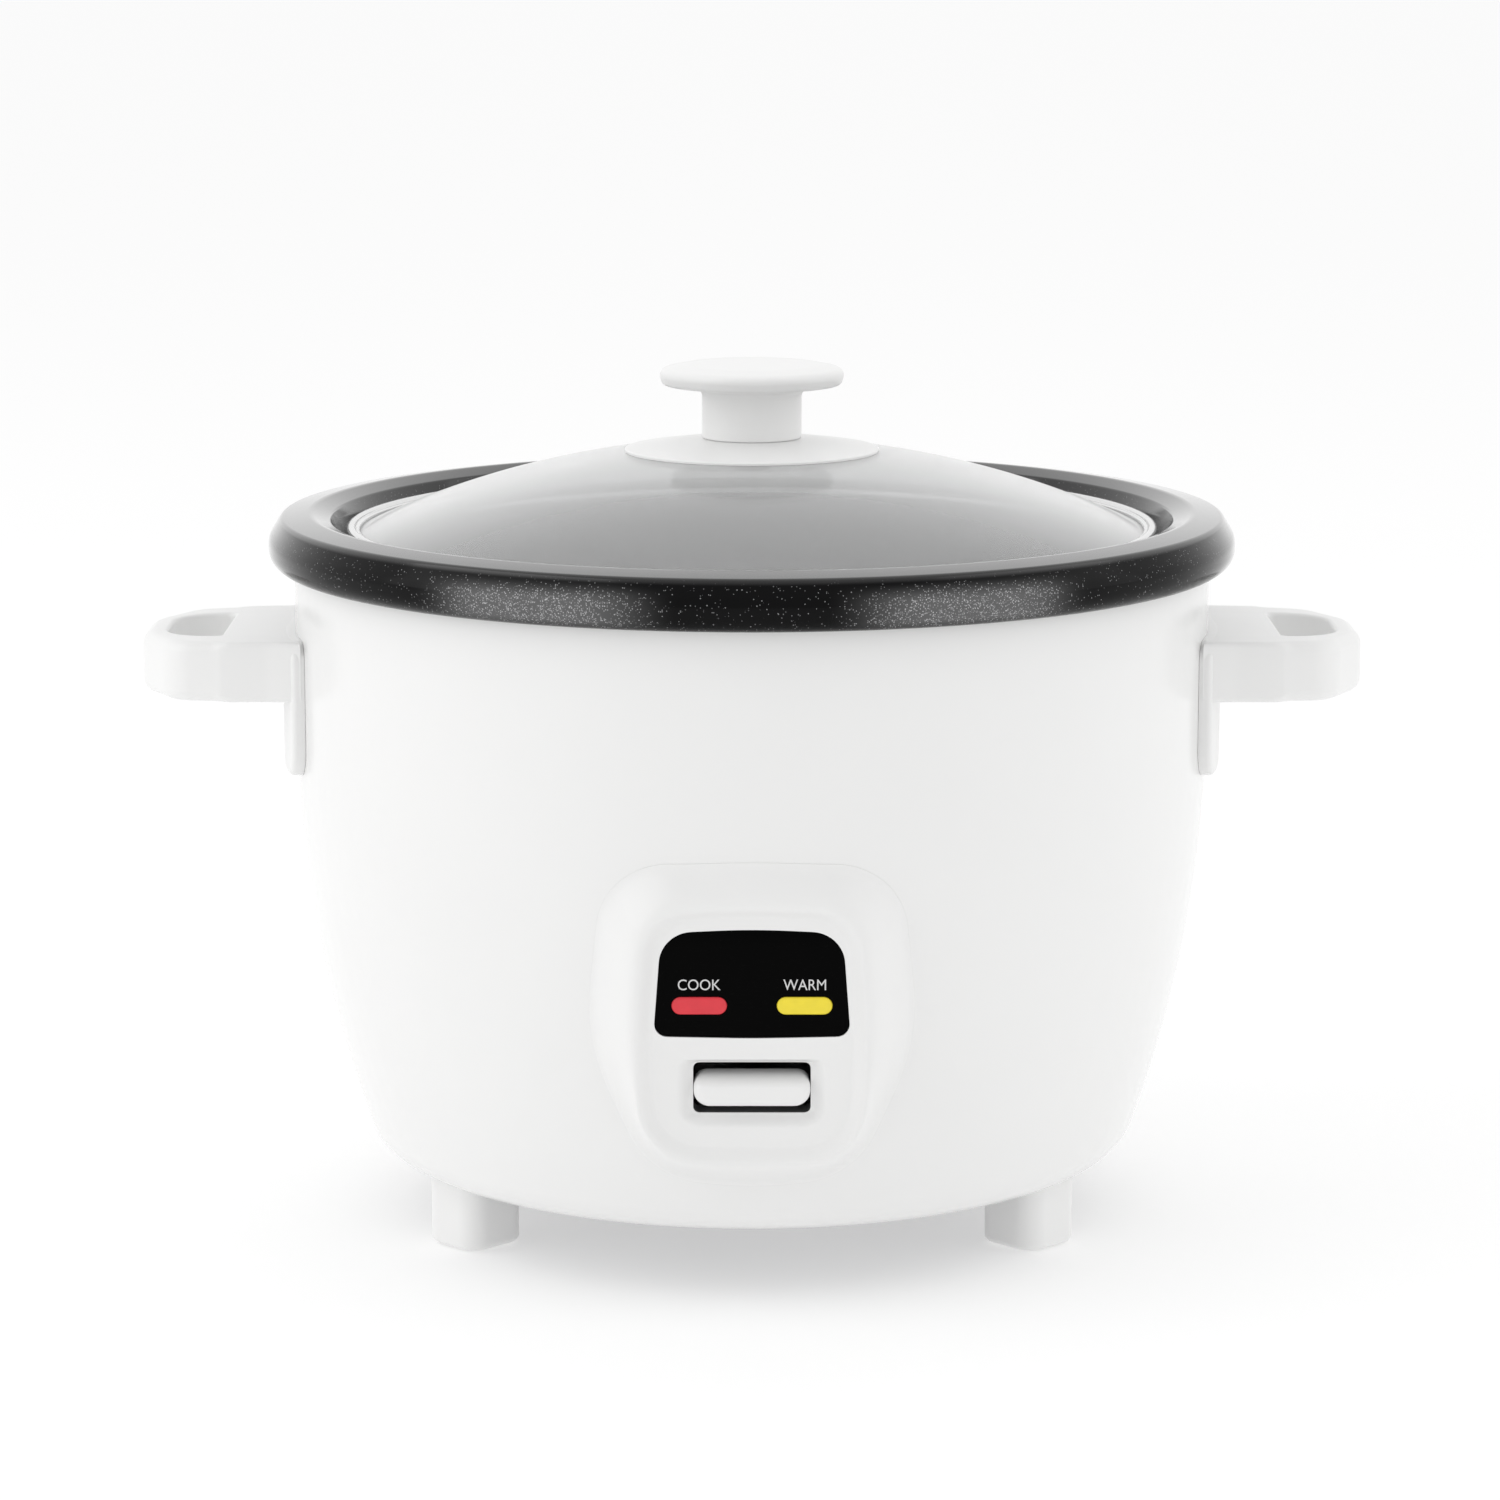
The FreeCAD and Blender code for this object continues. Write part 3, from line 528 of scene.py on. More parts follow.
@dataclass(frozen=True)
class SpeckledCoat:
    """Black non-stick coating: fine silver flecks, each the core of a Voronoi cell, under a clear top coat.

    Two clouds on the front of the rim are painted highlights, with more and brighter flecks over a paler
    ground.
    The flecks fade below the rim and towards its ends; on its flat top their fading is painted sheen,
    standing in for the top coat's reflection that hides them.
    """

    name: str
    ground: tuple[float, float, float] = (0.0015, 0.0015, 0.0017)
    painted_sheen_ground: tuple[float, float, float] = (0.125, 0.125, 0.126)
    fleck: tuple[float, float, float] = (0.52, 0.52, 0.53)
    rim_low: float = 184.0 * MM
    rim_high: float = 198.5 * MM
    # number of lobes round the rim that place the painted highlights
    clouds: float = 7.2

    def make(self) -> bpy.types.Material:
        """The finish as a material."""
        bench = Bench(self.name)
        fine, coarse = bench.cells(0.00042), bench.cells(0.0008)
        chance = bench.node("ShaderNodeSeparateColor", None, {"Color": fine.out("Color")})
        rare = bench.node("ShaderNodeSeparateColor", None, {"Color": coarse.out("Color")})
        spot = bench.node("ShaderNodeSeparateXYZ", None, {"Vector": bench.place()})
        height = spot.out(2)
        around = bench.maths("ARCTAN2", spot.out(0), -1.0 * spot.out(1))
        lobe = bench.maths("COSINE", self.clouds * around)
        facing = bench.maths("COSINE", around)
        low, high = self.rim_low, self.rim_high
        band = height.ramp(low + 1 * MM, low + 4 * MM) * height.ramp(high - 6 * MM, high - 1 * MM, 1.0, 0.0)
        # painted highlights: two patches on the front of the rim where light would fall
        painted_glint_patches = lobe.ramp(0.55, -0.9) * facing.ramp(0.72, 0.84) * band
        small = (fine.out("Distance") < 0.42) * (chance.out() > 0.93 - 0.55 * painted_glint_patches)
        large = (coarse.out("Distance") < 0.24) * (rare.out(1) > 0.96 - 0.12 * painted_glint_patches)
        # fewer flecks below the rim and on its flat top; on the top this is painted sheen, the flecks taken
        # out where the coat's reflection would hide them
        thick = height.ramp(low - 4 * MM, low + 2 * MM, 0.05) * height.ramp(high - 2 * MM, high, 1.0, 0.1)
        flecks = bench.maths("MAXIMUM", small, large) * thick
        # fleck brightness: random tone, raised inside the painted highlights
        fleck_tone_and_glint = (0.12 + 0.88 * chance.out(2)) * (0.45 + 0.55 * painted_glint_patches)
        # ground paler inside the painted highlights: painted sheen
        under = bench.mix(painted_glint_patches, self.ground, self.painted_sheen_ground)
        gloss = bench.maths("MAXIMUM", height.ramp(high - 1.2 * MM, high), facing.ramp(0.60, 0.10))
        return bench.finish(bench.principled(
            Base_Color=bench.mix(flecks * fleck_tone_and_glint, under, self.fleck), IOR=1.21,
            Roughness=0.13 + 0.05 * bench.noise(0.004) + 0.1 * flecks,
            Coat_Weight=gloss, Coat_Roughness=0.10, Coat_IOR=1.5,
            Normal=bench.bump(bench.noise(0.0010, 3.0), 0.00001, 0.3)))


@dataclass(frozen=True)
class LidGlass:
    """Tempered glass under a pale veil, a painted reflection of the white surroundings, stronger the flatter
    it is looked at.
    """

    name: str
    tint: tuple[float, float, float] = (0.90, 0.92, 0.92)
    painted_reflection_share: float = 0.20

    def make(self) -> bpy.types.Material:
        """The finish as a material."""
        bench = Bench(self.name)
        clear = bench.principled(Base_Color=self.tint, Roughness=0.012 + 0.01 * bench.noise(0.03), IOR=1.46,
                                 Transmission_Weight=1.0)
        # painted reflection: a pale diffuse layer mixed over the clear glass, more of it at flat angles
        painted_reflection_layer = bench.principled(Base_Color=(0.86, 0.86, 0.86), Roughness=0.5, Specular_IOR_Level=0.1)
        facing = bench.node("ShaderNodeLayerWeight", None, {"Blend": 0.5}).out("Facing")
        share = facing.ramp(0.55, 1.0, self.painted_reflection_share, self.painted_reflection_share + 0.45) + 0.02 * bench.noise(0.02)
        return bench.finish(bench.node("ShaderNodeMixShader", None, {0: share, 1: clear, 2: painted_reflection_layer}).out())


@dataclass(frozen=True)
class Metal:
    """Bare metal with fine scratches that vary its roughness."""

    name: str
    colour: tuple[float, float, float]
    roughness: float
    grain: float = 0.0025
    depth: float = 0.00001

    def make(self) -> bpy.types.Material:
        """The finish as a material."""
        bench = Bench(self.name)
        grain = bench.noise(self.grain, 5.0, 0.65)
        duller = tuple(value * 0.88 for value in self.colour)
        return bench.finish(bench.principled(
            Base_Color=bench.mix(grain, duller, self.colour), Metallic=1.0,
            Roughness=self.roughness * (0.75 + 0.5 * grain), Normal=bench.bump(grain, self.depth, 0.4)))


@dataclass(frozen=True)
class Dull:
    """Matt rubber, ceramic or heat-proof plastic with a fine pitted grain."""

    name: str
    colour: tuple[float, float, float]
    roughness: float = 0.6
    grain: float = 0.0016
    gloss: float = 0.5

    def make(self) -> bpy.types.Material:
        """The finish as a material."""
        bench = Bench(self.name)
        grain = bench.noise(self.grain, 4.0, 0.6)
        darker = tuple(value * 0.8 for value in self.colour)
        return bench.finish(bench.principled(
            Base_Color=bench.mix(grain, darker, self.colour),
            Roughness=self.roughness * (0.85 + 0.3 * grain), Specular_IOR_Level=self.gloss,
            Normal=bench.bump(grain, 0.00004, 0.5)))


@dataclass(frozen=True)
class Lens:
    """Coloured lamp lens: slightly cloudy colour with a soft glow from inside."""

    name: str
    colour: tuple[float, float, float]
    glow: float = 0.25

    def make(self) -> bpy.types.Material:
        """The finish as a material."""
        bench = Bench(self.name)
        cloud = bench.noise(0.003, 2.0)
        deeper = tuple(value * 0.85 for value in self.colour)
        return bench.finish(bench.principled(
            Base_Color=bench.mix(cloud, deeper, self.colour), Roughness=0.25 + 0.1 * cloud,
            Emission_Color=bench.mix(cloud, deeper, self.colour), Emission_Strength=self.glow))


FINISHES = {
    "white_body": WhitePlastic("enamelled_body", (0.86, 0.86, 0.855), 0.20, 0.5),
    "white_trim": WhitePlastic("white_moulding", (0.86, 0.86, 0.855), 0.30, 0.0),
    "pot_coating": SpeckledCoat("speckled_coating"),
    "lid_glass": LidGlass("lid_glass"),
    "bright_steel": Metal("bright_ring_steel", (0.80, 0.80, 0.80), 0.16),
    "plain_steel": Metal("plain_sheet_steel", (0.60, 0.60, 0.61), 0.34),
    "screw_steel": Metal("zinc_screw_steel", (0.55, 0.55, 0.56), 0.28),
    "plate_aluminium": Metal("cast_plate_aluminium", (0.72, 0.72, 0.73), 0.38, 0.0015, 0.00003),
    "pin_brass": Metal("inlet_pin_brass", (0.78, 0.66, 0.38), 0.22),
    "window_black": Dull("window_black", (0.001, 0.001, 0.001), 0.22, 0.02, 0.03),
    "red_lens": Lens("cook_lens_red", (0.66, 0.030, 0.045), 0.16),
    "yellow_lens": Lens("warm_lens_yellow", (0.74, 0.60, 0.03)),
    "lamp_glass": LidGlass("lamp_glass", (0.95, 0.9, 0.85)),
    "magnet_black": Dull("magnet_ferrite", (0.03, 0.03, 0.032), 0.55),
    "switch_plastic": Dull("black_plastic", (0.02, 0.02, 0.02), 0.45),
    "white_ceramic": Dull("unglazed_ceramic", (0.74, 0.72, 0.67), 0.7),
    "soft_rubber": Dull("foot_rubber", (0.03, 0.03, 0.03), 0.75),
    "wire_cover": Dull("wire_sleeve", (0.62, 0.60, 0.55), 0.6),
}
LEGEND_PRINT = Dull("legend_print", (0.72, 0.72, 0.72), 0.5, 0.0008)
# painted shade: dark grey for the lining deep in the lever slot
LEVER_SHADE_LINING = Dull("lever_well", (0.09, 0.09, 0.09), 0.6, 0.002, 0.2)


class Finishes:
    """Every material of the cooker, made once and found by the record's slot that it stands for."""

    def __init__(self) -> None:
        """Makes them all."""
        self.by_slot = {slot: finish.make() for slot, finish in FINISHES.items()}
        self.legend, self.shade_lining = LEGEND_PRINT.make(), LEVER_SHADE_LINING.make()

    def dress(self, piece: bpy.types.Object, slot: str, *nodes: str,
              material: bpy.types.Material | None = None) -> None:
        """Gives a new piece the finish of a record slot, and lets it stand for nodes of the frame.

        Args:
            piece: the piece.
            slot: the record slot whose finish it takes.
            nodes: the nodes that it replaces.
            material: a finish other than the slot's own.
        """
        paint(piece, material or self.by_slot[slot])
        if nodes:
            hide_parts(*nodes)


def paint(piece: bpy.types.Object, material: bpy.types.Material) -> None:
    """Gives a piece one material."""
    piece.data.materials.clear()
    piece.data.materials.append(material)


def paint_frame(finishes: Finishes) -> None:
    """Gives every node of the frame the finish of its record slot."""
    subparts = frame["record"]["subparts"]
    for entry in subparts:
        paint(frame["nodes"][entry["node"]], finishes.by_slot[entry["material_slot"]])
    LOG.info("frame: %d nodes finished", len(subparts))


# --- studio -------------------------------------------------------------------------------------


@dataclass
class Studio:
    """Pale floor, white surroundings, soft lamps and the camera."""

    camera_place: tuple[float, float, float] = (-0.0005, -1.333, 0.3768)
    pitch: float = 10.45
    focal: float = 115.2
    sensor: float = 36.0
    sky: float = 1.0
    front_light: float = 0.72
    floor_reach: float = 60.0
    floor_colour: tuple[float, float, float] = (0.62, 0.62, 0.62)
    floor_glow: float = 0.40

    def build(self) -> None:
        """Sets up everything that is not the cooker."""
        self.camera()
        self.floor()
        self.surroundings()
        self.lamp("key_lamp", (-1.5, -0.6, 1.1), (0, 0, 0.12), 1.7, 8.0)
        self.lamp("fill_lamp", (1.5, -0.4, 0.9), (0, 0, 0.12), 1.6, 3.6)
        self.lamp("top_lamp", (0.0, 0.3, 1.9), (0, 0, 0.1), 1.6, 0.6)
        view = bpy.context.scene.view_settings
        view.view_transform, view.look = "Standard", "None"
        LOG.info("studio ready")

    def camera(self) -> None:
        """Long lens a little above the rim, looking along +Y and down by the pitch."""
        data = bpy.data.cameras.new("camera")
        data.lens, data.sensor_width = self.focal, self.sensor
        camera = linked("camera", data)
        camera.location = self.camera_place
        camera.rotation_euler = (math.radians(90 - self.pitch), 0, 0)
        bpy.context.scene.camera = camera

    def floor(self) -> None:
        """Large pale floor just under the feet."""
        skin = Skin()
        corners = self.floor_reach * np.array([(-1, -1, 0), (1, -1, 0), (1, 1, 0), (-1, 1, 0)])
        skin.add(corners, [(0, 1, 2, 3)])
        floor = linked("floor", skin.mesh("floor"))
        bench = Bench("floor_paper")
        paint(floor, bench.finish(bench.principled(
            Base_Color=self.floor_colour, Roughness=0.9, Specular_IOR_Level=0.0,
            Emission_Color=WHITE, Emission_Strength=self.floor_glow)))

    def surroundings(self) -> None:
        """White light from all round, whose brightness steps up from front to back."""
        world = bpy.data.worlds.new("white_room")
        bpy.context.scene.world = world
        world.use_nodes = True
        world.node_tree.nodes.clear()
        bench = Bench.on(world.node_tree)
        way = bench.node("ShaderNodeTexCoord").out("Generated")
        back = bench.node("ShaderNodeSeparateXYZ", None, {"Vector": way}).out(1)
        strength = back.ramp(-0.75, 0.25, self.front_light, self.sky)
        light = bench.node("ShaderNodeBackground", None, {"Color": WHITE, "Strength": strength}).out()
        bench.node("ShaderNodeOutputWorld", None, {"Surface": light})

    def lamp(self, name: str, place: Sequence[float], aim: Sequence[float], size: float,
             power: float) -> None:
        """Square soft lamp.

        Args:
            name: the lamp's name.
            place: where it stands.
            aim: the point it faces.
            size: its width.
            power: its output in watts.
        """
        data = bpy.data.lights.new(name, "AREA")
        data.shape, data.size, data.energy = "SQUARE", size, power
        lamp = linked(name, data)
        lamp.location = place
        lamp.rotation_euler = (Vector(aim) - Vector(place)).to_track_quat("-Z", "Y").to_euler()


# --- cooker -------------------------------------------------------------------------------------


@dataclass
class Shell:
    """White outer wall: flat ring and straight wall at the top, tapering and curling in at the foot."""

    radius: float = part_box("body_shell")[1].x
    top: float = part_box("top_ring")[1].z
    bottom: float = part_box("body_shell")[0].z
    ring_bottom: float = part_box("top_ring")[0].z
    ring_hole: float = 112.6 * MM
    taper_top: float = 82.1 * MM
    foot_radius: float = 105.65 * MM
    taper_bend: float = 335.0 * MM
    foot_bend: float = 12.0 * MM
    lip_radius: float = 88.0 * MM
    wall: float = 1.6 * MM
    longest: float = 6.0 * MM

    def side(self, grow: float = 0.0) -> np.ndarray:
        """Outer profile from top to underside, moved outwards, where each corner moves along its mitre."""
        slope = math.atan2(self.radius - self.foot_radius, self.taper_top - self.bottom)
        bend = self.taper_top - grow * math.tan(slope / 2)
        foot = self.foot_radius + grow * (1 - math.sin(slope)) / math.cos(slope)
        return rounded_outline([
            (self.radius + grow, self.top), (self.radius + grow, bend, self.taper_bend + grow),
            (foot, self.bottom - grow, self.foot_bend + grow),
            (self.lip_radius, self.bottom - grow)], steps=28, closed=False)

    def radius_at(self, height: np.ndarray) -> np.ndarray:
        """Outer radius at each height, by interpolation along the profile."""
        line = self.side()[:-1][::-1]
        return np.interp(height, line[:, 1], line[:, 0])

    def front_at(self, across: np.ndarray, height: np.ndarray) -> np.ndarray:
        """Y of the front of the wall: minus the root of the radius squared less X squared."""
        return -np.sqrt(np.maximum(self.radius_at(height) ** 2 - across ** 2, 1e-9))

    def build(self, finishes: Finishes) -> None:
        """Makes the wall and opens it for the lever and for the mains inlet."""
        outer = refined(self.side(), self.longest)
        inner = refined(self.side(-self.wall), self.longest)[::-1]
        inner[-1, 1] = self.ring_bottom
        rim = np.array([(self.ring_hole, self.ring_bottom), (self.ring_hole, self.top)])
        piece = place_piece("body_shell_skin", spun(np.concatenate([outer, inner, rim])), Body.COOKER, 50)
        inlet_low, inlet_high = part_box("inlet_housing")
        knob_low, knob_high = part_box("lever_knob")
        level, arm = (knob_low.z + knob_high.z) / 2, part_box("lever_arm")[0].y
        self.open(piece, (-15.2 * MM, -135 * MM, level - 8 * MM),
                  (15.2 * MM, arm + 20 * MM, level + 7.5 * MM))
        self.open(piece, (-16.6 * MM, 95 * MM, inlet_low.z + 4 * MM),
                  (16.6 * MM, 130 * MM, inlet_high.z - 4 * MM))
        finishes.dress(piece, "white_body", "body_shell", "top_ring")

    def open(self, piece: bpy.types.Object, low: Sequence[float], high: Sequence[float]) -> None:
        """Cuts a box-shaped opening through a piece.

        Args:
            piece: the object to cut.
            low: the box's lowest corner.
            high: its highest corner.
        """
        work = bmesh.new()
        bmesh.ops.create_cube(work, size=1.0)
        size, middle = Vector(high) - Vector(low), (Vector(high) + Vector(low)) / 2
        work.transform(Matrix.Translation(middle) @ Matrix.Diagonal((*size, 1.0)))
        data = bpy.data.meshes.new("cutter")
        work.to_mesh(data)
        work.free()
        cutter = linked("cutter", data)
        change = piece.modifiers.new("opening", "BOOLEAN")
        change.operation, change.object, change.solver = "DIFFERENCE", cutter, "EXACT"
        cut = evaluated_mesh(piece)
        piece.modifiers.clear()
        piece.data = cut
        bpy.data.objects.remove(cutter)


@dataclass
class Pot:
    """Pot with its lid seat and broad rolled flange."""

    radius: float = 109.5 * MM
    bottom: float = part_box("inner_pot")[0].z
    wall: float = 1.8 * MM
    corner: float = 24.0 * MM
    seat: float = 188.4 * MM
    seat_radius: float = 114.6 * MM
    flange_radius: float = 134.7 * MM
    flange_widest: float = 190.5 * MM
    flange_top: float = 200.2 * MM
    crest_radius: float = 124.0 * MM
    inner_radius: float = 117.5 * MM
    lip: float = 185.2 * MM
    lip_radius: float = 124.5 * MM

    def build(self, finishes: Finishes) -> None:
        """Spins the pot's section: outside up, over the flange and down the inside."""
        w, ledge, top = self.wall, self.seat - self.wall, self.flange_top
        section = rounded_outline([
            (0, self.bottom), (self.radius, self.bottom, self.corner), (self.radius, ledge, 0.6 * MM),
            (self.seat_radius + 1.3 * MM, ledge, 0.8 * MM),
            (self.inner_radius + 1.4 * MM, top - 2.8 * MM, 0.8 * MM),
            (self.crest_radius + 1.5 * MM, top - 1.6 * MM, 4 * MM),
            (self.flange_radius - w, self.flange_widest + 1.8 * MM, 4.5 * MM),
            (self.flange_radius - w, self.lip + w, 3.4 * MM), (self.lip_radius, self.lip + w),
            (self.lip_radius, self.lip), (self.flange_radius, self.lip, 5.2 * MM),
            (self.flange_radius, self.flange_widest + 2.9 * MM, 6 * MM),
            (self.crest_radius + 7.2 * MM, top - 1.2 * MM, 1.6 * MM),
            (self.crest_radius - 1.0 * MM, top, 4 * MM), (self.inner_radius, top - 2.0 * MM, 1.0 * MM),
            (self.seat_radius, self.seat, 0.6 * MM), (self.radius - w, self.seat, 0.6 * MM),
            (self.radius - w, self.bottom + w, self.corner - w), (0, self.bottom + w)], steps=9)
        piece = place_piece("pot_with_flange", spun(refined(section, 9 * MM), 288), Body.POT, 50)
        finishes.dress(piece, "pot_coating", "inner_pot")


@dataclass
class Lid:
    """Glass dome in a steel band, with a white knob on a saucer."""

    glass_radius: float = 260.0 * MM
    glass_top: float = 218.4 * MM
    glass_wall: float = 3.5 * MM
    glass_edge: float = 111.2 * MM
    band_radius: float = 113.0 * MM
    band_top: float = 196.3 * MM
    band_bottom: float = 188.75 * MM
    band_hole: float = 108.3 * MM
    band_grip: float = 109.4 * MM
    clear: float = 0.05 * MM
    hole: float = 3.4 * MM
    saucer_radius: float = 35.5 * MM
    saucer_top: float = 219.7 * MM
    stem_radius: float = 13.9 * MM
    cap_radius: float = 26.0 * MM
    cap_top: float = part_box("lid_knob_cap")[1].z

    def height(self, radius: np.ndarray | float, sink: float = 0.0) -> np.ndarray | float:
        """Height of the dome: its centre's height plus the root of its radius squared less r squared."""
        centre = self.glass_top - self.glass_radius
        return centre + np.sqrt((self.glass_radius - sink) ** 2 - np.square(radius))

    def glass(self) -> Skin:
        """Dome of even thickness with the hole for the knob's screw."""
        reach = np.linspace(self.hole, self.glass_edge, 60)
        outer = np.column_stack([reach, self.height(reach)])
        inner = np.column_stack([reach, self.height(reach, self.glass_wall)])[::-1]
        return spun(np.concatenate([outer, inner]))

    def band(self) -> Skin:
        """Steel band that holds the edge of the glass from above, outside and below."""
        grip, edge, clear, wall = self.band_grip, self.glass_edge, self.clear, self.glass_wall
        radius, top, hole, low = self.band_radius, self.band_top, self.band_hole, self.band_bottom
        return spun(rounded_outline([
            (hole, low), (radius, low, 0.8 * MM), (radius, top, 1.1 * MM),
            (radius - 2.3 * MM, top, 0.8 * MM), (radius - 2.5 * MM, top - 0.9 * MM, 0.3 * MM),
            (grip, top - 1.0 * MM, 0.4 * MM), (grip, self.height(grip) + clear),
            (edge + clear, self.height(edge) + clear), (edge + clear, self.height(edge, wall) - clear),
            (hole, self.height(hole, wall) - clear)], steps=8), 288)

    def saucer(self) -> Skin:
        """Low cone under the knob, whose underside lies on the glass."""
        edge = self.saucer_radius
        under = np.linspace(edge - 0.2 * MM, self.hole, 14)
        upper = rounded_outline([
            (self.hole, self.saucer_top), (13 * MM, self.saucer_top, 4 * MM), (20 * MM, 219.0 * MM, 60 * MM),
            (edge, 216.75 * MM, 0.4 * MM), (edge, self.height(edge) + self.clear)], steps=8, closed=False)
        lower = np.column_stack([under, self.height(under) + self.clear])
        return spun(np.concatenate([upper, lower]), 160)

    def knob(self) -> Skin:
        """Stem and wide low cap, with a blind hole for the screw."""
        stem, cap = self.stem_radius, self.cap_radius
        return spun(refined(rounded_outline([
            (2.5 * MM, self.saucer_top), (stem, self.saucer_top, 0.5 * MM), (stem, 233.2 * MM, 2.2 * MM),
            (cap - 1.0 * MM, 234.7 * MM, 1.4 * MM), (cap + 0.2 * MM, 238.9 * MM, 2.2 * MM),
            (cap - 7 * MM, self.cap_top, 12 * MM), (0, self.cap_top), (0, 232.5 * MM),
            (2.5 * MM, 232.5 * MM)], steps=12), 3 * MM), 160)

    def build(self, finishes: Finishes) -> None:
        """Makes the glass, the band, the saucer and the knob."""
        for name, skin, slot, node, sharp in (
                ("glass_dome", self.glass(), "lid_glass", "lid_glass", 35),
                ("lid_band", self.band(), "bright_steel", "lid_ring", 50),
                ("knob_saucer", self.saucer(), "white_trim", "lid_knob_base", 50),
                ("lid_knob", self.knob(), "white_trim", "lid_knob_cap", 50)):
            finishes.dress(place_piece(name, skin, Body.LID, sharp), slot, node)


@dataclass
class Handle:
    """Side handle: a flat grip with a finger slot, on a tongue that lies on the body."""

    side: Side
    shell: Shell
    root: float = 123.6 * MM
    end: float = 170.0 * MM
    low: float = 150.5 * MM
    high: float = 167.3 * MM
    half_width: float = 33.8 * MM
    bend: float = 146.0 * MM
    droop: float = 0.012
    tongue_low: float = 129.0 * MM
    tongue_half: float = 36.0 * MM
    tongue_thick: float = 3.7 * MM

    def grip_outline(self) -> np.ndarray:
        """Plan of the grip: it narrows from the root, breaks at the bend and curves round its end."""
        front = [(self.root, -36.0 * MM), (133 * MM, -34.3 * MM, 20 * MM),
                 (self.bend, -self.half_width, 0.8 * MM), (160 * MM, -31 * MM, 12 * MM),
                 (self.end, -12 * MM, 16 * MM)]
        rear = [(corner[0], -corner[1], *corner[2:]) for corner in reversed(front)]
        return resampled(rounded_outline([*front, *rear], steps=20), 420)

    def slot_outline(self) -> np.ndarray:
        """Plan of the finger slot: a half-round outer end and a straight inner side."""
        near, far, half, inner, outer = 147 * MM, 163 * MM, 20.5 * MM, 2 * MM, 13.5 * MM
        return resampled(rounded_outline([(near, -half, inner), (far, -half, outer), (far, half, outer),
                                          (near, half, inner)], steps=20), 200)

    def grip(self) -> Skin:
        """Outer wall and slot wall with rounded edges, larger towards the end, closed by flat faces."""
        outer, slot = self.grip_outline(), self.slot_outline()
        share = np.clip((outer[:, 0] - self.bend + 3 * MM) / (6 * MM), 0, 1)
        outer_radius = (1.5 + 2.0 * smooth(share)) * MM
        slot_radius = np.full(len(slot), 1.2 * MM)
        turn = np.linspace(0, math.pi / 2, 8)[:, None]
        skin, rims = Skin(), []
        for outline, radius, inwards in ((outer, outer_radius, 1.0), (slot, slot_radius, -1.0)):
            depth = inwards * radius * np.concatenate([1 - np.sin(turn), 1 - np.cos(turn)])
            level = np.concatenate([self.low + radius * (1 - np.cos(turn)),
                                    self.high - radius * (1 - np.sin(turn))])
            flat = np.stack([inset(outline, row) for row in depth])
            rings = np.concatenate([flat, level[..., None]], axis=-1)
            skin.add_rings(rings)
            rims.append((rings[0], rings[-1]))
        for number, level in ((0, self.low), (1, self.high)):
            outside, hole = (rim[number][:, :2] for rim in rims)
            skin.add_fill(outside, [hole],
                          lambda flat, level=level: np.column_stack([flat, np.full(len(flat), level)]))
        for points in skin.points:
            points[:, 2] -= self.droop * (points[:, 0] - self.root)
        return skin

    def tongue(self) -> Skin:
        """Rounded plate bent round the body: arc length along the wall becomes the angle about the axis."""
        half = self.tongue_half
        outline = resampled(rounded_outline([
            (-half, self.tongue_low, 9 * MM), (half, self.tongue_low, 9 * MM), (half, self.high, 5 * MM),
            (-half, self.high, 5 * MM)], steps=12), 160)
        centre = np.array([0, (self.tongue_low + self.high) / 2])
        edge, lift, thick = 1.5 * MM, 0.05 * MM, self.tongue_thick
        front = inset(outline, edge)
        rings = [self.bent(flat, lift) for flat in shrunk(outline, centre, np.linspace(0, 1, 8))]
        rings += [self.bent(inset(outline, depth), thick - drop) for depth, drop in quarter(edge, 7)]
        rings += [self.bent(flat, thick) for flat in shrunk(front, centre, np.linspace(0.9, 0, 10))]
        skin = Skin()
        skin.add_rings(np.stack(rings))
        return skin

    def bent(self, flat: np.ndarray, out: float) -> np.ndarray:
        """Points (arc length, height) wrapped on the body and raised off it."""
        radius = self.shell.radius_at(flat[:, 1]) + out
        angle = flat[:, 0] / self.shell.radius
        return np.column_stack([radius * np.cos(angle), radius * np.sin(angle), flat[:, 1]])

    def build(self, finishes: Finishes) -> None:
        """Makes the handle on its side."""
        side = self.side.name.lower()
        for part, skin in (("grip", self.grip()), ("tongue", self.tongue())):
            for points in skin.points:
                points[:, 0] *= self.side.value
            piece = place_piece(f"handle_{part}_{side}", skin, Body.COOKER, 40)
            finishes.dress(piece, "white_trim", f"handle_{side}")


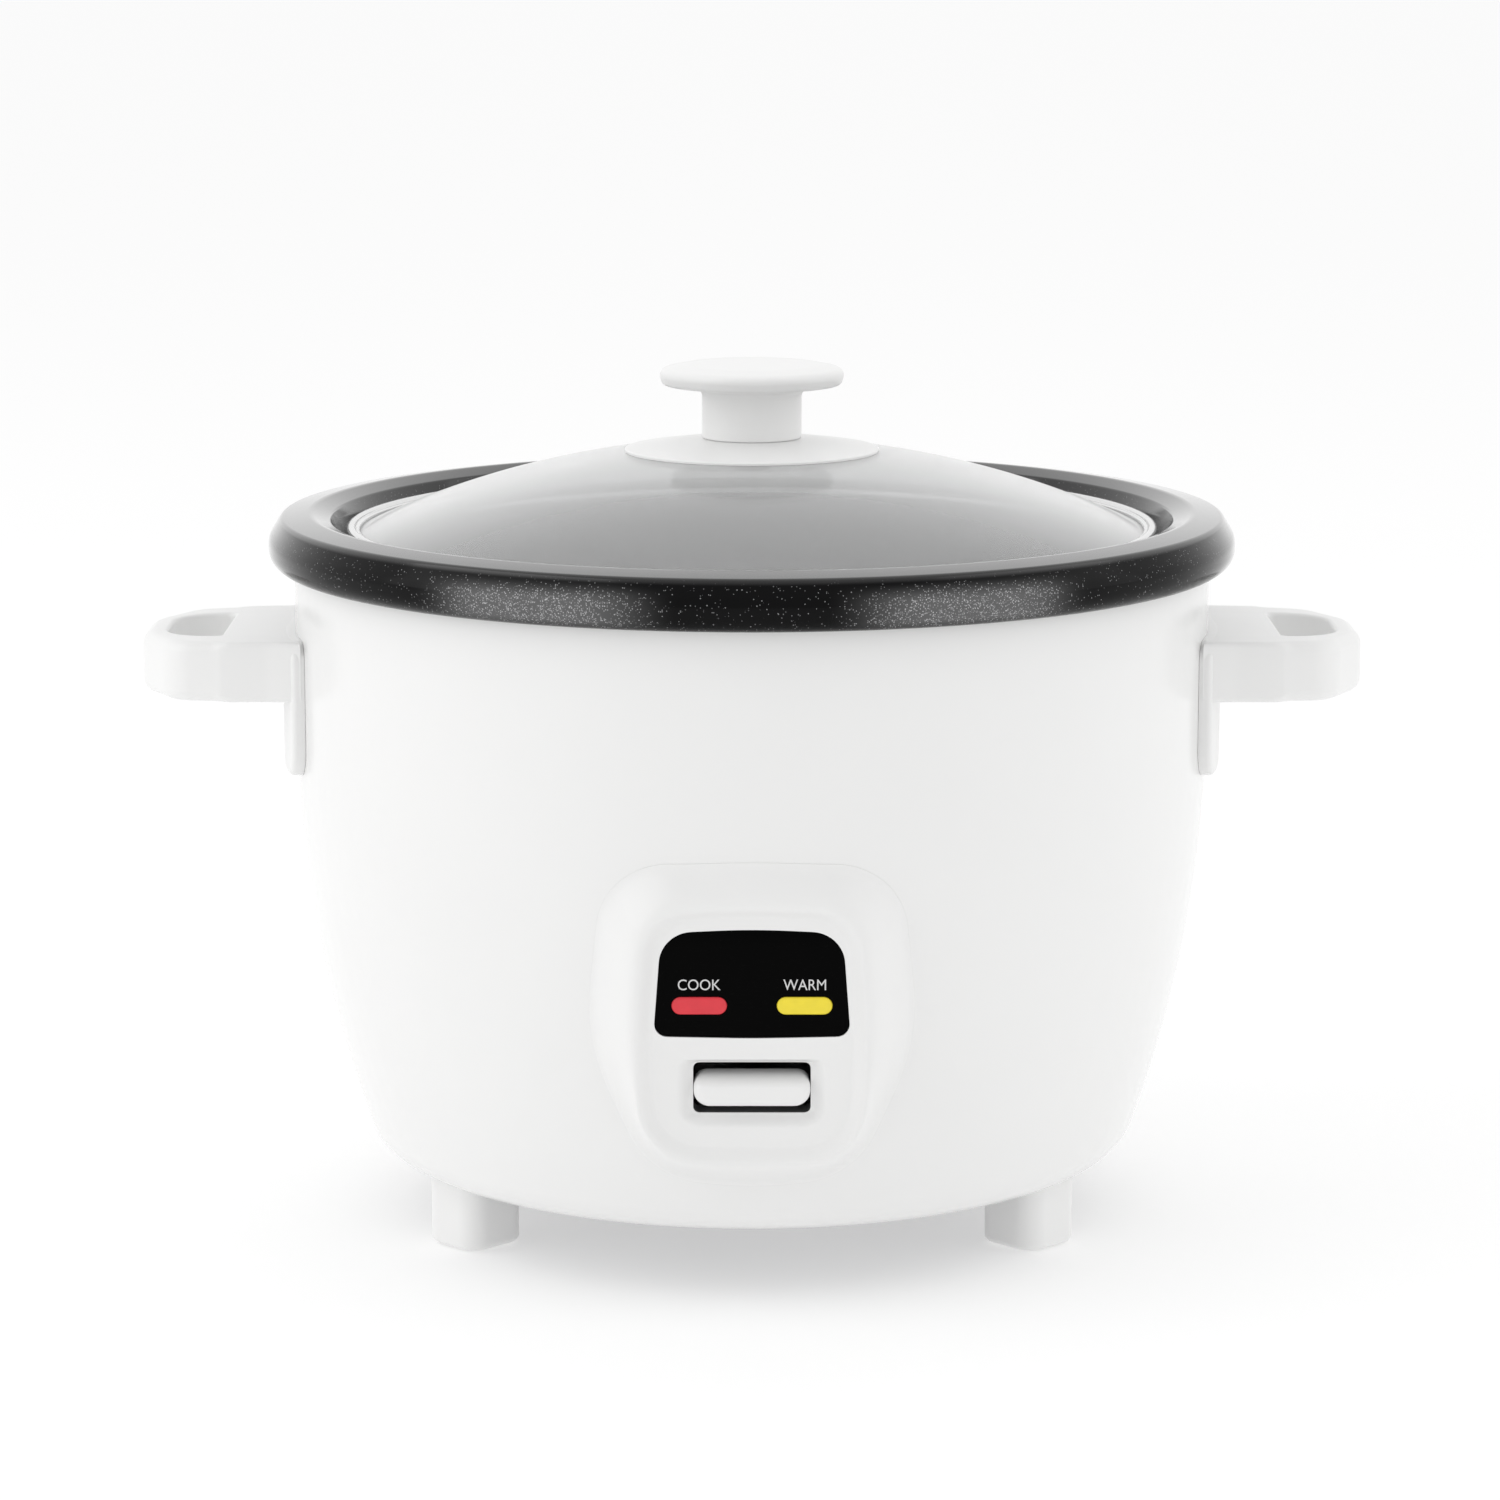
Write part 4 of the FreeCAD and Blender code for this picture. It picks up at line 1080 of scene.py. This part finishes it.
@dataclass
class Panel:
    """Front panel: a swelling bezel with a raised rim, a black window with two lamps, and the cook lever."""

    shell: Shell
    front: float = -128.7 * MM
    middle: float = 80.0 * MM
    tilt: float = math.radians(4.15)
    face_sink: float = 1.3 * MM
    bead: float = 0.5 * MM
    window_sink: float = 1.5 * MM
    dish_sink: float = 3.2 * MM
    slot_depth: float = 9.5 * MM
    lens_level: float = 87.3 * MM
    lens_spread: float = 13.6 * MM
    lever_level: float = 64.75 * MM
    lever_fall: float = 1300.0
    lever_crown: float = 12.0
    legend_level: float = 93.0 * MM
    legend_size: tuple[float, float] = (11.0 * MM, 2.9 * MM)

    def outline(self, corners: Sequence[Corner]) -> np.ndarray:
        """Outline from corners in millimetres."""
        return rounded_outline([tuple(value * MM for value in corner) for corner in corners], steps=14)

    def lean(self, flat: np.ndarray, depth: float | np.ndarray) -> np.ndarray:
        """Points (across, up) at a depth behind the upright front, turned about its middle by the tilt.

        The turn makes Y = front + depth cos t - up sin t and Z = middle + up cos t + depth sin t.
        """
        up = flat[:, 1] - self.middle
        cosine, sine = math.cos(self.tilt), math.sin(self.tilt)
        return np.column_stack([flat[:, 0], self.front + depth * cosine - up * sine,
                                self.middle + up * cosine + depth * sine])

    def depth_on_body(self, flat: np.ndarray, sink: float) -> np.ndarray:
        """Depth at which each point meets the wall of the body, by repeating the step Y(depth) = wall."""
        depth = np.zeros(len(flat))
        for _ in range(8):
            place = self.lean(flat, depth)
            depth = depth + (self.shell.front_at(place[:, 0], place[:, 2]) + sink - place[:, 1])
        return depth

    def bezel(self) -> Skin:
        """Swell from the body to the rim, then down to the face, the dish and the slot.

        At a share s of the way in, the outline is a blend of the outer and the rim outline, and the depth
        goes from the wall's to the rim's by the smooth step s * s * (3 - 2 s). A thin lip edges the swell.
        """
        centre, count = (0.0, self.middle), 288
        outer, rim, face = (by_angle(self.outline(mirrored(corners)), centre, count) for corners in (
            [(0, 33.2, 140), (27, 35.5, 22), (43.6, 74, 60), (38.5, 123, 20), (0, 125, 180)],
            [(0, 44.6, 250), (28.4, 45.8, 16), (30.4, 78, 190), (27.6, 113, 13), (0, 114.4, 240)],
            [(0, 48.8, 240), (24.4, 50, 12), (26.2, 78, 190), (23.6, 109.4, 9.5), (0, 110.6, 220)]))
        seat, lip = 0.9 * MM, 0.25 * MM
        skin = Skin()
        rings = [self.lean(outer, self.depth_on_body(outer, seat))]
        for share in np.linspace(0, 1, 24):
            flat, eased = outer + (rim - outer) * share, smooth(share)
            wall = self.depth_on_body(flat, -lip)
            rings.append(self.lean(flat, wall * (1 - eased) - self.bead * eased))
        for share in np.linspace(0, 1, 14)[1:]:
            drop = (self.face_sink + self.bead) * smooth(share)
            rings.append(self.lean(rim + (face - rim) * share, drop - self.bead))
        skin.add_rings(np.stack(rings))
        dish, slot = self.openings()
        window = self.window_outline()
        self.flat_face(skin, face, [window, dish], self.face_sink)
        skin.add_rings(np.stack([self.lean(window, depth) for depth in (self.face_sink, 4.0 * MM)]))
        fall = self.dish_sink - self.face_sink
        walls = [self.lean(dish + (slot - dish) * share, self.face_sink + fall * smooth(share))
                 for share in np.linspace(0, 1, 14)]
        skin.add_rings(np.stack([*walls, self.lean(slot, self.dish_sink + 0.4 * MM)]))
        return skin

    def shade_lining(self) -> Skin:
        """Grey lining of the slot, painted shade behind the lever: a wall that follows the slot's outline, 1
        mm thick.
        """
        slot = self.openings()[1]
        near, far = self.dish_sink + 0.4 * MM, self.slot_depth
        steps = [(0.0, near), (0.0, far), (-1.0 * MM, far), (-1.0 * MM, near)]
        skin = Skin()
        skin.add_rings(self.stacked(slot, steps), through=True)
        return skin

    def stacked(self, outline: np.ndarray, steps: Sequence[tuple[float, float]]) -> np.ndarray:
        """Rings made from one outline, each moved inwards and set at a depth by its own step."""
        return np.stack([self.lean(inset(outline, inwards), depth) for inwards, depth in steps])

    def flat_face(self, skin: Skin, outline: np.ndarray, holes: Sequence[np.ndarray], depth: float) -> None:
        """Adds a flat face with holes at a depth."""
        skin.add_fill(outline, holes, lambda flat: self.lean(flat, depth))

    def openings(self) -> tuple[np.ndarray, np.ndarray]:
        """Outlines of the dish and of the slot in it, point to point."""
        centre = (0.0, self.lever_level)
        dish = self.outline([(-19.5, 54.2, 6), (19.5, 54.2, 6), (19.5, 73, 3), (-19.5, 73, 3)])
        slot = self.outline([(-15.25, 57.7, 1.6), (15.25, 57.7, 1.6), (15.25, 71.5, 1.6),
                             (-15.25, 71.5, 1.6)])
        return by_angle(dish, centre, 200), by_angle(slot, centre, 200)

    def window_outline(self) -> np.ndarray:
        """Outline of the black window: flat foot, leaning sides and a wide arched top."""
        return by_angle(self.outline(mirrored([(0, 78.5, 300), (25.5, 79, 3.4), (23.4, 106.9, 8.8),
                                               (0, 108, 200)])), (0.0, 92 * MM), 240)

    def capsule(self, side: Side, width: float, height: float) -> np.ndarray:
        """Lens outline: two half circles joined by straight sides."""
        middle, reach = side.value * self.lens_spread, width / 2
        bend, low, high = 0.999 * height / 2, self.lens_level - height / 2, self.lens_level + height / 2
        return resampled(rounded_outline([
            (middle - reach, low, bend), (middle + reach, low, bend),
            (middle + reach, high, bend), (middle - reach, high, bend)], steps=12), 96)

    def build_window(self, finishes: Finishes) -> None:
        """Makes the window with its two holes, and a domed lens in each."""
        outline = inset(self.window_outline(), 0.06 * MM)
        holes = [self.capsule(side, 14.5 * MM, 4.9 * MM) for side in Side]
        edge, front, rear = 0.25 * MM, self.window_sink, 3.2 * MM
        steps = [(0.0, rear), (0.0, front + edge), (edge * 0.3, front + edge * 0.3), (edge, front)]
        skin = Skin()
        skin.add_rings(self.stacked(outline, steps))
        for inwards, depth in (steps[-1], steps[0]):
            self.flat_face(skin, inset(outline, inwards), holes, depth)
        for hole in holes:
            skin.add_rings(self.stacked(hole, [(0.0, front), (0.0, rear)]))
        window = place_piece("window", skin, Body.COOKER, 30)
        finishes.dress(window, "window_black", "indicator_window")
        self.build_lens(Side.LEFT, "cook_lens", "red_lens", finishes)
        self.build_lens(Side.RIGHT, "warm_lens", "yellow_lens", finishes)

    def build_lens(self, side: Side, node: str, slot: str, finishes: Finishes) -> None:
        """Makes one lens, whose front rises by a quarter circle at its edge."""
        outline = self.capsule(side, 14.4 * MM, 4.8 * MM)
        top = self.window_sink - 0.35 * MM
        steps = [(0.0, 4.1 * MM)] + [(inwards, top + drop) for inwards, drop in quarter(0.7 * MM, 7)]
        skin = Skin()
        skin.add_rings(self.stacked(outline, steps))
        for inwards, depth in (steps[0], steps[-1]):
            self.flat_face(skin, inset(outline, inwards), [], depth)
        finishes.dress(place_piece(f"{node}_cap", skin, Body.COOKER, 40), slot, node)

    def build_legend(self, word: str, side: Side, finishes: Finishes) -> None:
        """Makes one printed word above its lens.

        Args:
            word: the word.
            side: the lens that it stands over.
            finishes: the cooker's materials.
        """
        writing = bpy.data.curves.new(f"legend_{word}", "FONT")
        writing.body, writing.align_x, writing.resolution_u = word, "CENTER", 6
        carrier = linked("carrier", writing)
        data = evaluated_mesh(carrier)
        bpy.data.objects.remove(carrier)
        points = np.empty(len(data.vertices) * 3)
        data.vertices.foreach_get("co", points)
        flat = points.reshape(-1, 3)[:, :2]
        low, high = flat.min(axis=0), flat.max(axis=0)
        place = np.array([side.value * self.lens_spread, self.legend_level])
        flat = (flat - (low + high) / 2) * (np.array(self.legend_size) / (high - low)) + place
        data.vertices.foreach_set("co", self.lean(flat, self.window_sink - 0.03 * MM).ravel())
        data.update()
        piece = place_piece(f"legend_{word.lower()}", data, Body.COOKER)
        finishes.dress(piece, "white_trim", material=finishes.legend)

    def build_lever(self, finishes: Finishes) -> None:
        """Makes the push bar: an oblong whose front is crowned and falls away towards its top."""
        outline = resampled(self.outline([(-15.1, 60.3, 4.2), (15.1, 60.3, 4.2), (15.1, 68.5, 3.4),
                                          (-15.1, 68.5, 3.4)]), 220)
        centre, bend = np.array([0, 64.4 * MM]), 66.4 * MM
        edge, front, rear = 2.6 * MM, -1.4 * MM, 7.0 * MM
        steps = [(flat, rear) for flat in shrunk(outline, centre, np.linspace(0, 0.9, 5))]
        steps.append((outline, rear))
        steps += [(inset(outline, inwards), front + drop) for inwards, drop in quarter(edge, 9)]
        steps += [(flat, front) for flat in shrunk(inset(outline, edge), centre, np.linspace(0.85, 0, 8))]
        rings = []
        for flat, depth in steps:
            fall = self.lever_fall * np.maximum(flat[:, 1] - bend, 0) ** 2
            crown = self.lever_crown * np.square(flat[:, 1] - centre[1])
            rings.append(self.lean(flat, np.minimum(depth + fall + crown, rear)))
        skin = Skin()
        skin.add_rings(np.stack(rings))
        finishes.dress(place_piece("lever_bar", skin, Body.LEVER, 60), "white_trim", "lever_knob")

    def build(self, finishes: Finishes) -> None:
        """Makes the whole panel."""
        bezel = place_piece("bezel", self.bezel(), Body.COOKER, 38)
        finishes.dress(bezel, "white_trim", "panel_bezel")
        # dark lining that paints the shade inside the lever slot
        shade_lining = place_piece("lever_well", self.shade_lining(), Body.COOKER, 38)
        finishes.dress(shade_lining, "switch_plastic", "panel_bezel", material=finishes.shade_lining)
        self.build_window(finishes)
        self.build_legend("COOK", Side.LEFT, finishes)
        self.build_legend("WARM", Side.RIGHT, finishes)
        self.build_lever(finishes)


@dataclass
class SensorSpring:
    """Coil spring under the sensor cup, as one smooth copy of the frame's coil."""

    node: str = "sensor_spring"

    def build(self, finishes: Finishes) -> None:
        """Joins a copy of the coil's triangles, smooths it and lets it stand for the frame's coil."""
        low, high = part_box(self.node)
        source = bpy.data.objects[self.node]
        data = source.data.copy()
        data.transform(source.matrix_world)
        data.materials.clear()
        work = bmesh.new()
        work.from_mesh(data)
        bmesh.ops.remove_doubles(work, verts=work.verts, dist=MERGE)
        work.to_mesh(data)
        work.free()
        coil = linked("sensor_coil", data)
        data.shade_smooth()
        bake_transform(coil)
        finishes.dress(coil, "screw_steel", self.node)
        LOG.info("sensor_coil: %d faces between cooker and sensor", len(data.polygons))


def main() -> None:
    """Builds the studio and the cooker, piece by piece."""
    logging.basicConfig(level=logging.INFO, format="%(message)s")
    Studio().build()
    finishes = Finishes()
    paint_frame(finishes)
    shell = Shell()
    shell.build(finishes)
    Pot().build(finishes)
    Lid().build(finishes)
    for side in Side:
        Handle(side, shell).build(finishes)
    Panel(shell).build(finishes)
    SensorSpring().build(finishes)


if __name__ == "__main__":
    main()
